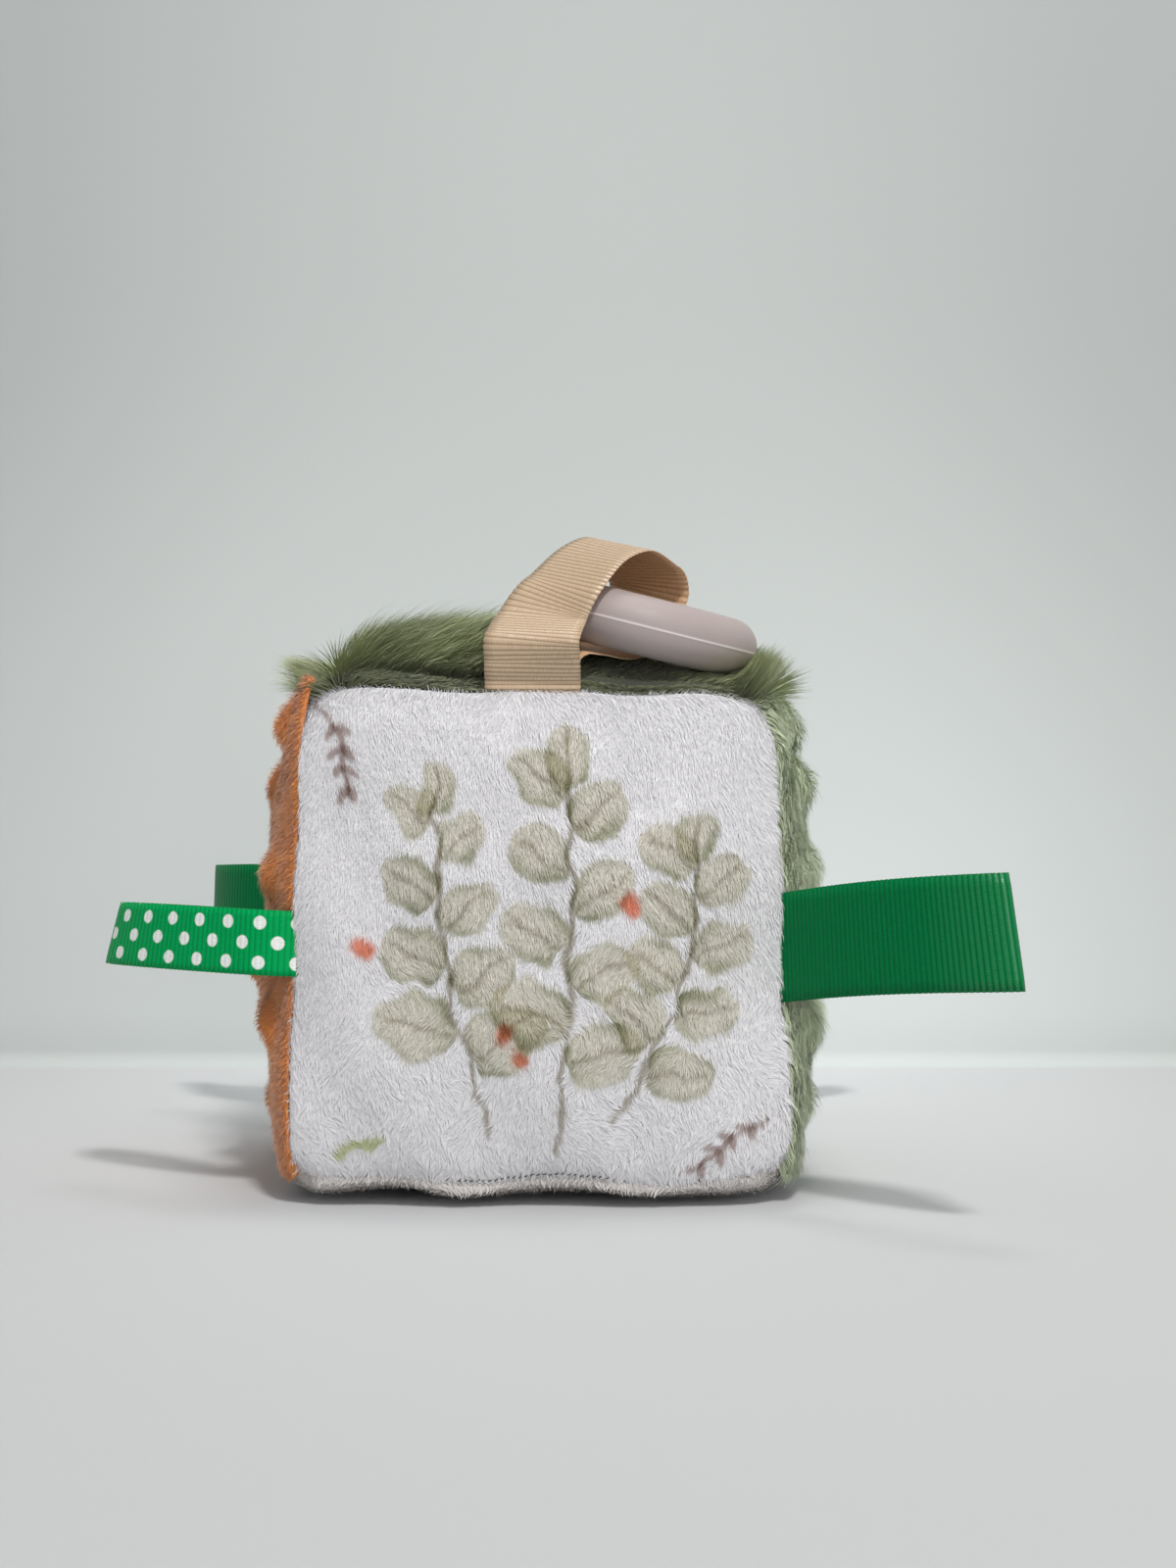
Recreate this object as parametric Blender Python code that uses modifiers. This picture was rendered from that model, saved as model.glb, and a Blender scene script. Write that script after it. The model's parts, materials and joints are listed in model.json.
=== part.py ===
"""A stuffed fabric block for a baby, with ribbon loops in its seams and a teether ring.

Metres, +Z up. The front panel faces -Y. The origin is on the floor, under the block's centre.
"""
import math

import bmesh
import bpy
from mathutils import Matrix, Vector

# Block: seam to seam at the corners, before the stuffing draws the seams in
BLOCK_WIDTH = 0.115
BLOCK_HEIGHT = 0.1172
SEAM_DRAW_IN = 0.0015
CORNER_PULL = 0.0055
SETTLE_SHARE = 0.07
DRAW_IN_POWER = 6
CORNER_POWER = 5

# How far the middle of each panel stands out from its seams
FRONT_CROWN = 0.008
BACK_CROWN = 0.009
LEFT_CROWN = 0.011
RIGHT_CROWN = 0.009
TOP_CROWN = 0.0095
BASE_CROWN = 0.0007

# Raised dots of the dimpled fabrics. They stand in staggered rows on each panel's own grid,
# which is counted in cells from its centre: first the rows one way, then the other way
DOT_HEIGHT = 0.0035
BASE_DOT_HEIGHT = 0.003
BASE_PRESS = 0.0005
DOT_ROW_CELLS = {
    "left_panel": ((-6, -3, 0, 3, 6), (7, 5, 2, -1, -3, -6)),
    "right_panel": ((-6, -3, 0, 3, 6), (7, 5, 2, -1, -3, -6)),
    "base_panel": ((-3, 0, 3), (-6, -4, -2, 0, 2, 4, 6)),
}

# Panel fabric and its seam allowance, turned in along the mitre
PANEL_CELLS = 16
SKIN = 0.002
SEAM_ALLOWANCE = 0.005
EDGE_ROLL = 0.002
GROOVE_DEPTH = 0.002
CLEARANCE = 0.0003

# Long pile that stands on the top panel, with room for the ring and its loop
PILE_HEIGHT = 0.0095
PILE_EDGE_SHARES = (0.45, 0.85)
PILE_FLARE = 0.0025
PILE_CLEARANCE = 0.001
PILE_CUTTER_SIDES = 48

# Stuffing
STUFFING_CLEARANCE = 0.001
STUFFING_LINE_SHARES = (-1.0, -0.85, -0.45, 0.0, 0.45, 0.85, 1.0)

# Seam thread, and the hole for it in the sewn end of a ribbon
THREAD_RADIUS = 0.0003
THREAD_DEPTH = 0.00145
BORE_RADIUS = 0.0008
BORE_SIDES = 12

# Grosgrain ribbons
RIBBON_THICKNESS = 0.0005
LAYER_GAP = 0.0003
SEWN_LENGTH = 0.007
SEWN_TIP = 0.0002
PINCH_SHARE = 0.8
AXIS_OFFSET = 0.00035
LOOP_START = 0.0008
BEIGE_LOOP_START = 0.0014
GREEN_WIDTH = 0.025
DOTTED_WIDTH = 0.015
BEIGE_WIDTH = 0.022
GREEN_LOOP_LENGTH = 0.064
DOTTED_LOOP_LENGTH = 0.058
REAR_LOOP_LENGTH = 0.060
GREEN_LOOP_OPENING = 0.009
DOTTED_LOOP_OPENING = 0.008
SIDE_LOOP_PLACE = -0.0016
GREEN_TIP_RISE = 0.0028
REAR_TIP_RISE = -0.0028
GREEN_TIP_SKEW_SHARE = 0.1
DOTTED_TIP_SKEW_SHARE = 0.16
DOTTED_ROOT_TURN_DEG = 45.0
DOTTED_END_TURN_DEG = 83.0
DOTTED_BEND_LENGTH = 0.012
LOOP_STEPS = 26
LOOP_ACROSS = 1
FLAT_LOOP_PEAK_SHARE = 0.77
BEIGE_STEPS_PER_SPAN = 3
BEIGE_SEAM_PLACE = -0.0013
BEIGE_ROOT_TURN_DEG = -45.0

# Teether ring, lying on the top panel
RING_DIAMETER = 0.058
RING_TUBE_RADIUS = 0.007
RING_RIGHT = 0.0241
RING_BEHIND_SEAM = 0.0275
RING_TILT_DEG = 14.0
RING_PITCH_DEG = 4.2
RING_BIGHT_DEG = 222.0
RING_AROUND = 40
RING_SECTION = 12
REST_SHARES = (0.0, 0.3, 0.6, 0.9)

HALF_WIDTH = BLOCK_WIDTH / 2
HALF_HEIGHT = BLOCK_HEIGHT / 2
CENTRE_HEIGHT = HALF_HEIGHT + BASE_CROWN + BASE_DOT_HEIGHT - BASE_PRESS

# Path of the beige loop round the ring: along, inward and up, in ring tube radii from the
# tube's centre, and how far the ribbon has twisted from the seam's line to the tube's line
BEIGE_PATH_SHARES = (
    (0.50, -1.69, -0.39, 0.45),
    (0.40, -1.04, 0.71, 0.75),
    (0.26, 0.00, 1.93, 0.93),
    (0.27, 1.16, 2.51, 1.0),
    (0.03, 2.40, 2.30, 1.0),
    (-0.10, 3.05, 1.84, 1.0),
    (-0.15, 3.30, 1.22, 1.0),
    (-0.10, 3.26, 0.14, 1.0),
    (0.10, 2.75, -0.62, 1.0),
    (0.20, 1.54, -1.16, 1.0),
    (0.20, 0.24, -1.28, 0.9),
    (0.31, -0.94, -1.48, 0.55),
)
BEIGE_FRONT_RISE_SHARE = 1.4
BEIGE_REAR_RISE_SHARE = 0.75
BEIGE_LOW_TWIST_SHARE = 0.2

# Each panel: the way it faces, its crown and its colour
PANELS = {
    "front_panel": ("-Y", FRONT_CROWN, (0.76, 0.77, 0.80)),
    "back_panel": ("+Y", BACK_CROWN, (0.76, 0.77, 0.80)),
    "left_panel": ("-X", LEFT_CROWN, (0.56, 0.20, 0.04)),
    "right_panel": ("+X", RIGHT_CROWN, (0.27, 0.33, 0.19)),
    "top_panel": ("+Z", TOP_CROWN, (0.11, 0.15, 0.07)),
    "base_panel": ("-Z", BASE_CROWN, (0.76, 0.75, 0.76)),
}
BEIGE = (0.62, 0.42, 0.26)
GREEN = (0.0, 0.19, 0.05)
DOTTED_GREEN = (0.01, 0.33, 0.09)
SILICONE = (0.47, 0.41, 0.41)
THREAD = (0.6, 0.6, 0.6)
FIBRE = (0.85, 0.85, 0.83)
CLOTH_ROUGHNESS = 0.9
THREAD_ROUGHNESS = 0.8
RIBBON_ROUGHNESS = 0.55
SILICONE_ROUGHNESS = 0.45

# Overrun of a cutter past the faces it cuts, and how near two points are one
OVERRUN = 0.002
WELD_DISTANCE = 0.000003


def clear_scene():
    for old in list(bpy.data.objects):
        bpy.data.objects.remove(old, do_unlink=True)


def make_collection(name):
    collection = bpy.data.collections.new(name)
    bpy.context.scene.collection.children.link(collection)
    return collection


def make_material(name, colour, roughness):
    material = bpy.data.materials.new(name)
    material.use_nodes = True
    shader = material.node_tree.nodes["Principled BSDF"]
    shader.inputs["Base Color"].default_value = (*colour, 1.0)
    shader.inputs["Roughness"].default_value = roughness
    shader.inputs["Metallic"].default_value = 0.0
    return material


def add_object(name, mesh, collection, colour, roughness=CLOTH_ROUGHNESS):
    piece = bpy.data.objects.new(name, mesh)
    mesh.materials.append(make_material(name, colour, roughness))
    collection.objects.link(piece)
    return piece


def add_cutter(name, mesh, collection):
    cutter = bpy.data.objects.new(name, mesh)
    cutter.hide_render = True
    cutter.display_type = "WIRE"
    collection.objects.link(cutter)
    return cutter


def cut(piece, cutter):
    boolean = piece.modifiers.new(cutter.name, "BOOLEAN")
    boolean.object = cutter
    boolean.operation = "DIFFERENCE"
    boolean.solver = "EXACT"


# The soft block: one mapping from a unit cube gives every panel, seam and the stuffing

def block_point(share, axis, crown, depth):
    """The point of the block for a point of the unit cube, on the face across an axis.

    crown is how far the middle of the face stands out, and depth how far inside it lies.
    """
    u, v = (abs(share[other]) for other in range(3) if other != axis)
    edge = SEAM_DRAW_IN * (u ** DRAW_IN_POWER * (1 - v * v) + v ** DRAW_IN_POWER * (1 - u * u))
    corner = CORNER_PULL * (u * v) ** CORNER_POWER
    point = Vector(share) * (1 - (edge + corner) / HALF_WIDTH)
    rise = crown * (1 - u * u) * (1 - v * v) / HALF_WIDTH
    point[axis] += math.copysign(rise, share[axis])
    point *= 1 - depth / HALF_WIDTH
    settle = 1 + SETTLE_SHARE * ((1 - point.z) ** 2 - 1) / 4
    return Vector((
        point.x * HALF_WIDTH * settle,
        point.y * HALF_WIDTH * settle,
        point.z * HALF_HEIGHT + CENTRE_HEIGHT,
    ))


def face_axis(share):
    """The axis of a face that a point of the unit cube lies on."""
    return max(range(3), key=lambda i: abs(share[i]))


def on_face(axis, side, u, v):
    """A point of the unit cube on one face, from its two shares across that face."""
    share = [u, v]
    share.insert(axis, side)
    return share


def panel_lines():
    """The grid lines across a panel: the mitred border, the rolled edge, then even cells."""
    inset = CLEARANCE / math.sqrt(2) / (1 - SEAM_ALLOWANCE / HALF_WIDTH)
    border = 1 - inset / HALF_WIDTH
    rolled = 1 - EDGE_ROLL / HALF_WIDTH
    cells = [rolled * (2 * i / PANEL_CELLS - 1) for i in range(PANEL_CELLS + 1)]
    return [-border, *cells, border]


def dot_places(name):
    """Grid places of the raised dots of a dimpled panel, counted from its centre."""
    first, second = DOT_ROW_CELLS.get(name, ((), ()))
    return {
        (i, j)
        for a, i in enumerate(first)
        for b, j in enumerate(second)
        if (a + b) % 2 == 0
    }


def axis_and_side(facing):
    """The axis that a panel faces along, and which way."""
    sign, axis = facing
    return "XYZ".index(axis), 1 if sign == "+" else -1


def layered_grid(lines):
    """A closed mesh of two alike grids: each vertex, its two line numbers, and if it is inner."""
    last = len(lines) - 1
    mesh = bmesh.new()
    bmesh.ops.create_grid(mesh, x_segments=last, y_segments=last, size=1)
    places = mesh.verts.layers.int.new("place")
    for vert in mesh.verts:
        i = round((vert.co.x + 1) / 2 * last)
        j = round((vert.co.y + 1) / 2 * last)
        vert[places] = i * len(lines) + j
    inner = set(mesh.verts)
    bmesh.ops.extrude_face_region(mesh, geom=mesh.faces[:], use_keep_orig=True)
    return mesh, [(vert, *divmod(vert[places], len(lines)), vert in inner) for vert in mesh.verts]


def closed_mesh(name, mesh):
    """The finished mesh, with its faces pointing out."""
    bmesh.ops.recalc_face_normals(mesh, faces=mesh.faces)
    data = bpy.data.meshes.new(name)
    mesh.to_mesh(data)
    mesh.free()
    return data


def make_panel(name, collection):
    """A crowned panel: a grid with an inner and an outer layer, mitred at its seams."""
    facing, crown, colour = PANELS[name]
    axis, side = axis_and_side(facing)
    lines = panel_lines()
    last = len(lines) - 1
    middle = last // 2
    dots = dot_places(name)
    dot_height = BASE_DOT_HEIGHT if name == "base_panel" else DOT_HEIGHT
    mesh, verts = layered_grid(lines)
    for vert, i, j, inner in verts:
        ring = min(i, j, last - i, last - j)
        share = on_face(axis, side, lines[i], lines[j])
        if inner:
            depth = SEAM_ALLOWANCE if ring < 2 else SKIN
            vert.co = block_point(share, axis, crown, depth)
        else:
            vert.co = block_point(share, axis, crown, GROOVE_DEPTH if ring == 0 else 0)
            if (i - middle, j - middle) in dots:
                vert.co[axis] += side * dot_height
    return add_object(name, closed_mesh(name, mesh), collection, colour)


def make_top_pile(collection, cutters):
    """The top panel's long pile, cut away where the ring and its loop lie and turn forward."""
    lines = panel_lines()[1:-1]
    last = len(lines) - 1
    mesh, verts = layered_grid(lines)
    for vert, i, j, inner in verts:
        ring = min(i, j, last - i, last - j)
        share = on_face(2, 1, lines[i], lines[j])
        vert.co = block_point(share, 2, TOP_CROWN, 0)
        if inner:
            vert.co.z += CLEARANCE
            continue
        edge_share = PILE_EDGE_SHARES[ring] if ring < len(PILE_EDGE_SHARES) else 1
        vert.co.z += PILE_HEIGHT * edge_share
        if ring == 0:
            vert.co.x *= 1 + PILE_FLARE / HALF_WIDTH
            vert.co.y *= 1 + PILE_FLARE / HALF_WIDTH
    _, _, colour = PANELS["top_panel"]
    pile = add_object("top_pile", closed_mesh("top_pile", mesh), collection, colour)
    centre = ring_centre()
    _, _, normal = ring_axes()
    bed = bmesh.new()
    bmesh.ops.create_cone(
        bed, segments=PILE_CUTTER_SIDES, radius1=RING_DIAMETER / 2 + PILE_CLEARANCE,
        radius2=RING_DIAMETER / 2 + PILE_CLEARANCE, depth=BLOCK_HEIGHT, cap_ends=True)
    bed_cutter = add_cutter("ring_bed_cutter", closed_mesh("ring_bed_cutter", bed), cutters)
    place = normal.to_track_quat("Z", "Y").to_matrix().to_4x4()
    place.translation = centre
    bed_cutter.matrix_world = place
    cut(pile, bed_cutter)
    left = BEIGE_SEAM_PLACE - BEIGE_WIDTH / 2 - PILE_CLEARANCE
    path = bmesh.new()
    bmesh.ops.create_cube(path, size=1)
    bmesh.ops.scale(path, vec=(BLOCK_WIDTH, BLOCK_WIDTH, BLOCK_HEIGHT), verts=path.verts)
    bmesh.ops.translate(
        path, vec=(left + BLOCK_WIDTH / 2, centre.y - BLOCK_WIDTH / 2, centre.z), verts=path.verts)
    cut(pile, add_cutter("loop_path_cutter", closed_mesh("loop_path_cutter", path), cutters))
    return pile


def press_base(panel, cutters):
    """The dots that carry the block are pressed flat on the floor."""
    mesh = bmesh.new()
    bmesh.ops.create_cube(mesh, size=1)
    bmesh.ops.scale(mesh, vec=(2 * BLOCK_WIDTH, 2 * BLOCK_WIDTH, BLOCK_HEIGHT), verts=mesh.verts)
    bmesh.ops.translate(mesh, vec=(0, 0, -HALF_HEIGHT), verts=mesh.verts)
    cut(panel, add_cutter("floor_cutter", closed_mesh("floor_cutter", mesh), cutters))


def make_stuffing(collection):
    """The fibre filling: the block's own shape, drawn back behind panels and allowances."""
    crowns = {axis_and_side(facing): crown for facing, crown, _ in PANELS.values()}
    cells = len(STUFFING_LINE_SHARES) - 1
    mesh = bmesh.new()
    bmesh.ops.create_cube(mesh, size=2)
    bmesh.ops.subdivide_edges(mesh, edges=mesh.edges[:], cuts=cells - 1, use_grid_fill=True)
    for vert in mesh.verts:
        share = [STUFFING_LINE_SHARES[round((value + 1) / 2 * cells)] for value in vert.co]
        axis = face_axis(share)
        least, middle, _ = sorted(abs(value) for value in share)
        behind_seam = middle == 1 or least == STUFFING_LINE_SHARES[-2]
        depth = (SEAM_ALLOWANCE if behind_seam else SKIN) + STUFFING_CLEARANCE
        crown = crowns[axis, int(math.copysign(1, share[axis]))]
        vert.co = block_point(share, axis, crown, depth)
    return add_object("stuffing", closed_mesh("stuffing", mesh), collection, FIBRE)


# Seam threads lie in the groove between two panels

def make_thread(name, shares, closed, collection):
    curve = bpy.data.curves.new(name, "CURVE")
    curve.dimensions = "3D"
    curve.bevel_depth = THREAD_RADIUS
    curve.bevel_resolution = 0
    curve.use_fill_caps = True
    spline = curve.splines.new("POLY")
    spline.points.add(len(shares) - 1)
    for point, share in zip(spline.points, shares):
        point.co = (*block_point(share, face_axis(share), 0, THREAD_DEPTH), 1)
    spline.use_cyclic_u = closed
    thread = bpy.data.objects.new(name, curve)
    curve.materials.append(make_material(name, THREAD, THREAD_ROUGHNESS))
    collection.objects.link(thread)
    return thread


def make_threads(collection):
    """One thread round the front panel, one round the back, and one along each other seam."""
    inner = panel_lines()[1:-1]
    for name, side in (("front", -1), ("back", 1)):
        shares = [(-1, side, -1)]
        shares += [(value, side, -1) for value in inner]
        shares += [(1, side, -1)]
        shares += [(1, side, value) for value in inner]
        shares += [(1, side, 1)]
        shares += [(-value, side, 1) for value in inner]
        shares += [(-1, side, 1)]
        shares += [(-1, side, -value) for value in inner]
        make_thread(f"{name}_seam_thread", shares, True, collection)
    for side, hand in ((-1, "left"), (1, "right")):
        for end, level in ((-1, "base"), (1, "top")):
            shares = [(side, value, end) for value in inner[1:-1]]
            make_thread(f"{level}_{hand}_seam_thread", shares, False, collection)


# Ribbons: each is sewn into a seam, where it turns about the seam's own line

def seam_frame(share, axis):
    """A frame on a seam: X out along the bisector, Z along the seam, origin on its sharp edge.

    axis is the direction along the seam, and share a point of the unit cube's edge.
    """
    step = EDGE_ROLL / HALF_WIDTH
    before = list(share)
    after = list(share)
    before[axis] -= step
    after[axis] += step
    across = next(i for i in range(3) if i != axis)
    along = block_point(after, across, 0, 0) - block_point(before, across, 0, 0)
    along.normalize()
    out = Vector([0 if i == axis else share[i] for i in range(3)])
    out -= along * out.dot(along)
    out.normalize()
    side = along.cross(out)
    frame = Matrix((out, side, along)).transposed().to_4x4()
    frame.translation = block_point(share, across, 0, 0)
    return frame


def outline_solid(name, outline, half_depth):
    """A closed solid from a flat outline, extruded half_depth each way."""
    curve = bpy.data.curves.new(name, "CURVE")
    curve.dimensions = "2D"
    curve.fill_mode = "BOTH"
    curve.extrude = half_depth
    spline = curve.splines.new("POLY")
    spline.points.add(len(outline) - 1)
    for point, (x, y) in zip(spline.points, outline):
        point.co = (x, y, 0, 1)
    spline.use_cyclic_u = True
    flat = bpy.data.objects.new(name, curve)
    bpy.context.scene.collection.objects.link(flat)
    bpy.context.view_layer.update()
    depsgraph = bpy.context.evaluated_depsgraph_get()
    data = bpy.data.meshes.new_from_object(flat.evaluated_get(depsgraph))
    bpy.data.objects.remove(flat, do_unlink=True)
    mesh = bmesh.new()
    mesh.from_mesh(data)
    bmesh.ops.remove_doubles(mesh, verts=mesh.verts, dist=WELD_DISTANCE)
    bmesh.ops.recalc_face_normals(mesh, faces=mesh.faces)
    mesh.to_mesh(data)
    mesh.free()
    return data


def sewn_outline(grow):
    """The sewn end across its width: two pressed layers that part round the seam thread."""
    thread = -THREAD_DEPTH * math.sqrt(2)
    eye = BORE_RADIUS + RIBBON_THICKNESS + grow
    stem = RIBBON_THICKNESS + grow
    reach = eye + stem
    top = SEWN_TIP + (OVERRUN if grow else 0)
    half = [
        (-SEWN_LENGTH - grow, stem * PINCH_SHARE),
        (thread - reach, stem),
        (thread - eye / 2, eye),
        (thread + eye / 2, eye),
        (thread + reach, stem),
        (top, stem * PINCH_SHARE),
    ]
    if grow:
        half[-3:] = [(top, eye)]
    return half + [(x, -y) for x, y in reversed(half)]


def add_sewn_end(name, frame, width, colour, panels, collection, cutters):
    """The end of a ribbon between two panels, and the slot that it needs in their allowances."""
    end = add_object(name, outline_solid(name, sewn_outline(0), width / 2), collection, colour)
    end.matrix_world = frame
    bore = bmesh.new()
    bmesh.ops.create_cone(
        bore, segments=BORE_SIDES, radius1=BORE_RADIUS, radius2=BORE_RADIUS,
        depth=width + 2 * OVERRUN, cap_ends=True)
    bmesh.ops.translate(bore, vec=(-THREAD_DEPTH * math.sqrt(2), 0, 0), verts=bore.verts)
    data = bpy.data.meshes.new(f"{name}_bore")
    bore.to_mesh(data)
    bore.free()
    bore_cutter = add_cutter(f"{name}_bore", data, cutters)
    bore_cutter.matrix_world = frame
    cut(end, bore_cutter)
    slot_name = f"{name}_slot"
    slot = outline_solid(slot_name, sewn_outline(CLEARANCE), width / 2 + CLEARANCE)
    slot_cutter = add_cutter(slot_name, slot, cutters)
    slot_cutter.matrix_world = frame
    for panel in panels:
        cut(panel, slot_cutter)
    return end


def ribbon_strip(name, rows, collection, colour, frame):
    """A strip of ribbon from rows of points across its width, thickened both ways."""
    mesh = bmesh.new()
    across = len(rows[0]) - 1
    bmesh.ops.create_grid(mesh, x_segments=len(rows) - 1, y_segments=across, size=1)
    to_local = frame.inverted()
    for vert in mesh.verts:
        i = round((vert.co.x + 1) / 2 * (len(rows) - 1))
        j = round((vert.co.y + 1) / 2 * across)
        vert.co = to_local @ rows[i][j]
    data = bpy.data.meshes.new(name)
    mesh.to_mesh(data)
    mesh.free()
    strip = add_object(name, data, collection, colour, RIBBON_ROUGHNESS)
    strip.matrix_world = frame
    solid = strip.modifiers.new("thickness", "SOLIDIFY")
    solid.thickness = RIBBON_THICKNESS
    solid.offset = 0
    solid.use_even_offset = True
    return strip


def width_shares():
    return [2 * j / LOOP_ACROSS - 1 for j in range(LOOP_ACROSS + 1)]


def loop_axis(along, root_turn, end_turn, bend):
    """Place and heading on a loop's middle line, which turns evenly within its bend length."""
    if not bend or root_turn == end_turn:
        return Vector((along * math.cos(root_turn), along * math.sin(root_turn), 0)), root_turn
    radius = bend / (end_turn - root_turn)
    heading = root_turn + min(along, bend) / radius
    place = Vector((
        radius * (math.sin(heading) - math.sin(root_turn)),
        radius * (math.cos(root_turn) - math.cos(heading)),
        0,
    ))
    past = max(along - bend, 0)
    return place + Vector((past * math.cos(heading), past * math.sin(heading), 0)), heading


def flat_loop_rows(frame, length, width, opening, root_turn=0.0, end_turn=0.0, bend=0.0,
                   rise=0.0, skew_share=0.0):
    """Rows of a folded ribbon: two layers from the seam that part and meet at the fold."""
    root = (LAYER_GAP + RIBBON_THICKNESS) / 2
    swell = (opening + RIBBON_THICKNESS) / 2 / FLAT_LOOP_PEAK_SHARE
    first = math.sqrt(2 * root / swell)
    rows = []
    for i in range(LOOP_STEPS + 1):
        turn = first + (2 * math.pi - 2 * first) * i / LOOP_STEPS
        part = ((1 - math.cos(turn)) - (1 - math.cos(first))) / (1 + math.cos(first))
        along = LOOP_START + part * (length - LOOP_START)
        aside = swell * math.sin(turn) * math.sin(turn / 2)
        row = []
        for side in width_shares():
            reach = along * (1 - skew_share * side * width / length * part)
            place, heading = loop_axis(reach, root_turn, end_turn, bend)
            place += aside * Vector((-math.sin(heading), math.cos(heading), 0))
            place.z = side * width / 2 + rise * part * part
            row.append(frame @ place)
        rows.append(row)
    return rows


def smooth_points(points, steps):
    """A smooth curve through points, each with any number of values."""
    padded = [2 * points[0] - points[1], *points, 2 * points[-1] - points[-2]]
    result = []
    for i in range(1, len(padded) - 2):
        a, b, c, d = padded[i - 1:i + 3]
        for step in range(steps):
            t = step / steps
            result.append(0.5 * (2 * b + (c - a) * t + (2 * a - 5 * b + 4 * c - d) * t ** 2
                                 + (3 * b - a - 3 * c + d) * t ** 3))
    result.append(points[-1])
    return result


def hinge_frame(share, axis):
    """A seam's frame moved out to the line about which a ribbon loop turns."""
    frame = seam_frame(share, axis)
    return frame @ Matrix.Translation((AXIS_OFFSET, 0, 0))


# Teether ring

def ring_axes():
    """The ring's right, back and normal directions, tilted to its right and up at its back."""
    turn = Matrix.Rotation(math.radians(RING_PITCH_DEG), 3, "X")
    lean = Matrix.Rotation(math.radians(RING_TILT_DEG), 3, "Y")
    both = turn @ lean
    return both.col[0].copy(), both.col[1].copy(), both.col[2].copy()


def top_height(x, y):
    """The height of the top panel under a point, from the block's own mapping."""
    reach = HALF_WIDTH * (1 - SETTLE_SHARE / 4)
    u = max(-1, min(1, x / reach))
    v = max(-1, min(1, y / reach))
    return block_point((u, v, 1), 2, TOP_CROWN, 0).z


def ring_centre():
    """The ring's centre, as high as its tube rests on the top panel with a small clearance."""
    right, back, _ = ring_axes()
    major = RING_DIAMETER / 2 - RING_TUBE_RADIUS
    reach = RING_TUBE_RADIUS + CLEARANCE
    seam = block_point((0, -1, 1), 1, 0, 0)
    centre = Vector((RING_RIGHT, seam.y + RING_BEHIND_SEAM, 0))
    height = 0
    for i in range(RING_AROUND):
        turn = 2 * math.pi * i / RING_AROUND
        tube = centre + major * (right * math.cos(turn) + back * math.sin(turn))
        for k in range(RING_SECTION):
            heading = 2 * math.pi * k / RING_SECTION
            for share in REST_SHARES:
                x = tube.x + reach * share * math.cos(heading)
                y = tube.y + reach * share * math.sin(heading)
                drop = reach * math.sqrt(1 - share * share)
                height = max(height, top_height(x, y) + drop - tube.z)
    centre.z = height
    return centre


def bight_frame():
    """The frame where the ribbon holds the ring: X along the tube, Y inward, Z the normal."""
    right, back, normal = ring_axes()
    turn = math.radians(RING_BIGHT_DEG)
    outward = right * math.cos(turn) + back * math.sin(turn)
    along = back * math.cos(turn) - right * math.sin(turn)
    frame = Matrix((along, -outward, normal)).transposed().to_4x4()
    frame.translation = ring_centre() + (RING_DIAMETER / 2 - RING_TUBE_RADIUS) * outward
    return frame


def make_ring(collection):
    right, back, normal = ring_axes()
    bpy.ops.mesh.primitive_torus_add(
        major_segments=RING_AROUND, minor_segments=RING_SECTION,
        major_radius=RING_DIAMETER / 2 - RING_TUBE_RADIUS, minor_radius=RING_TUBE_RADIUS)
    ring = bpy.context.object
    ring.name = "teether_ring"
    ring.data.name = "teether_ring"
    ring.data.materials.append(make_material("teether_ring", SILICONE, SILICONE_ROUGHNESS))
    ring.data.shade_smooth()
    for old in list(ring.users_collection):
        old.objects.unlink(ring)
    collection.objects.link(ring)
    pivot = bpy.data.objects.new("ring_swing_axis", None)
    collection.objects.link(pivot)
    pivot.matrix_world = bight_frame()
    place = Matrix((right, back, normal)).transposed().to_4x4()
    place.translation = ring_centre()
    ring.parent = pivot
    ring.matrix_parent_inverse = pivot.matrix_world.inverted()
    ring.matrix_world = place
    return ring


def beige_rows(frame):
    """Rows of the beige loop: up from the seam, over the ring's tube and back under it."""
    tube = bight_frame()
    root_heading = math.radians(BEIGE_ROOT_TURN_DEG)
    up = frame.to_3x3() @ Vector((math.cos(root_heading), math.sin(root_heading), 0))
    aside = frame.to_3x3() @ Vector((-math.sin(root_heading), math.cos(root_heading), 0))
    along_seam = frame.to_3x3() @ Vector((0, 0, 1))
    along_tube = tube.to_3x3() @ Vector((1, 0, 0))
    if along_seam.dot(along_tube) < 0:
        along_tube.negate()
    half_gap = (LAYER_GAP + RIBBON_THICKNESS) / 2
    start = frame.translation + up * BEIGE_LOOP_START
    front_rise = up * BEIGE_FRONT_RISE_SHARE * RING_TUBE_RADIUS
    rear_rise = up * BEIGE_REAR_RISE_SHARE * RING_TUBE_RADIUS
    places = [(start - aside * half_gap, 0.0)]
    places += [(start - aside * half_gap + front_rise, BEIGE_LOW_TWIST_SHARE)]
    for along, inward, above, twist in BEIGE_PATH_SHARES:
        offset = Vector((along, inward, above)) * RING_TUBE_RADIUS
        places.append((tube @ offset, twist))
    places += [(start + aside * half_gap + rear_rise, BEIGE_LOW_TWIST_SHARE)]
    places += [(start + aside * half_gap, 0.0)]
    path = smooth_points([Vector((*place, twist)) for place, twist in places], BEIGE_STEPS_PER_SPAN)
    rows = []
    for i, point in enumerate(path):
        place = point.to_3d()
        ahead = path[min(i + 1, len(path) - 1)].to_3d() - path[max(i - 1, 0)].to_3d()
        across = along_seam.lerp(along_tube, max(0, min(1, point.w)))
        across -= ahead * (across.dot(ahead) / ahead.length_squared)
        across.normalize()
        rows.append([place + across * side * BEIGE_WIDTH / 2 for side in width_shares()])
    return rows


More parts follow.
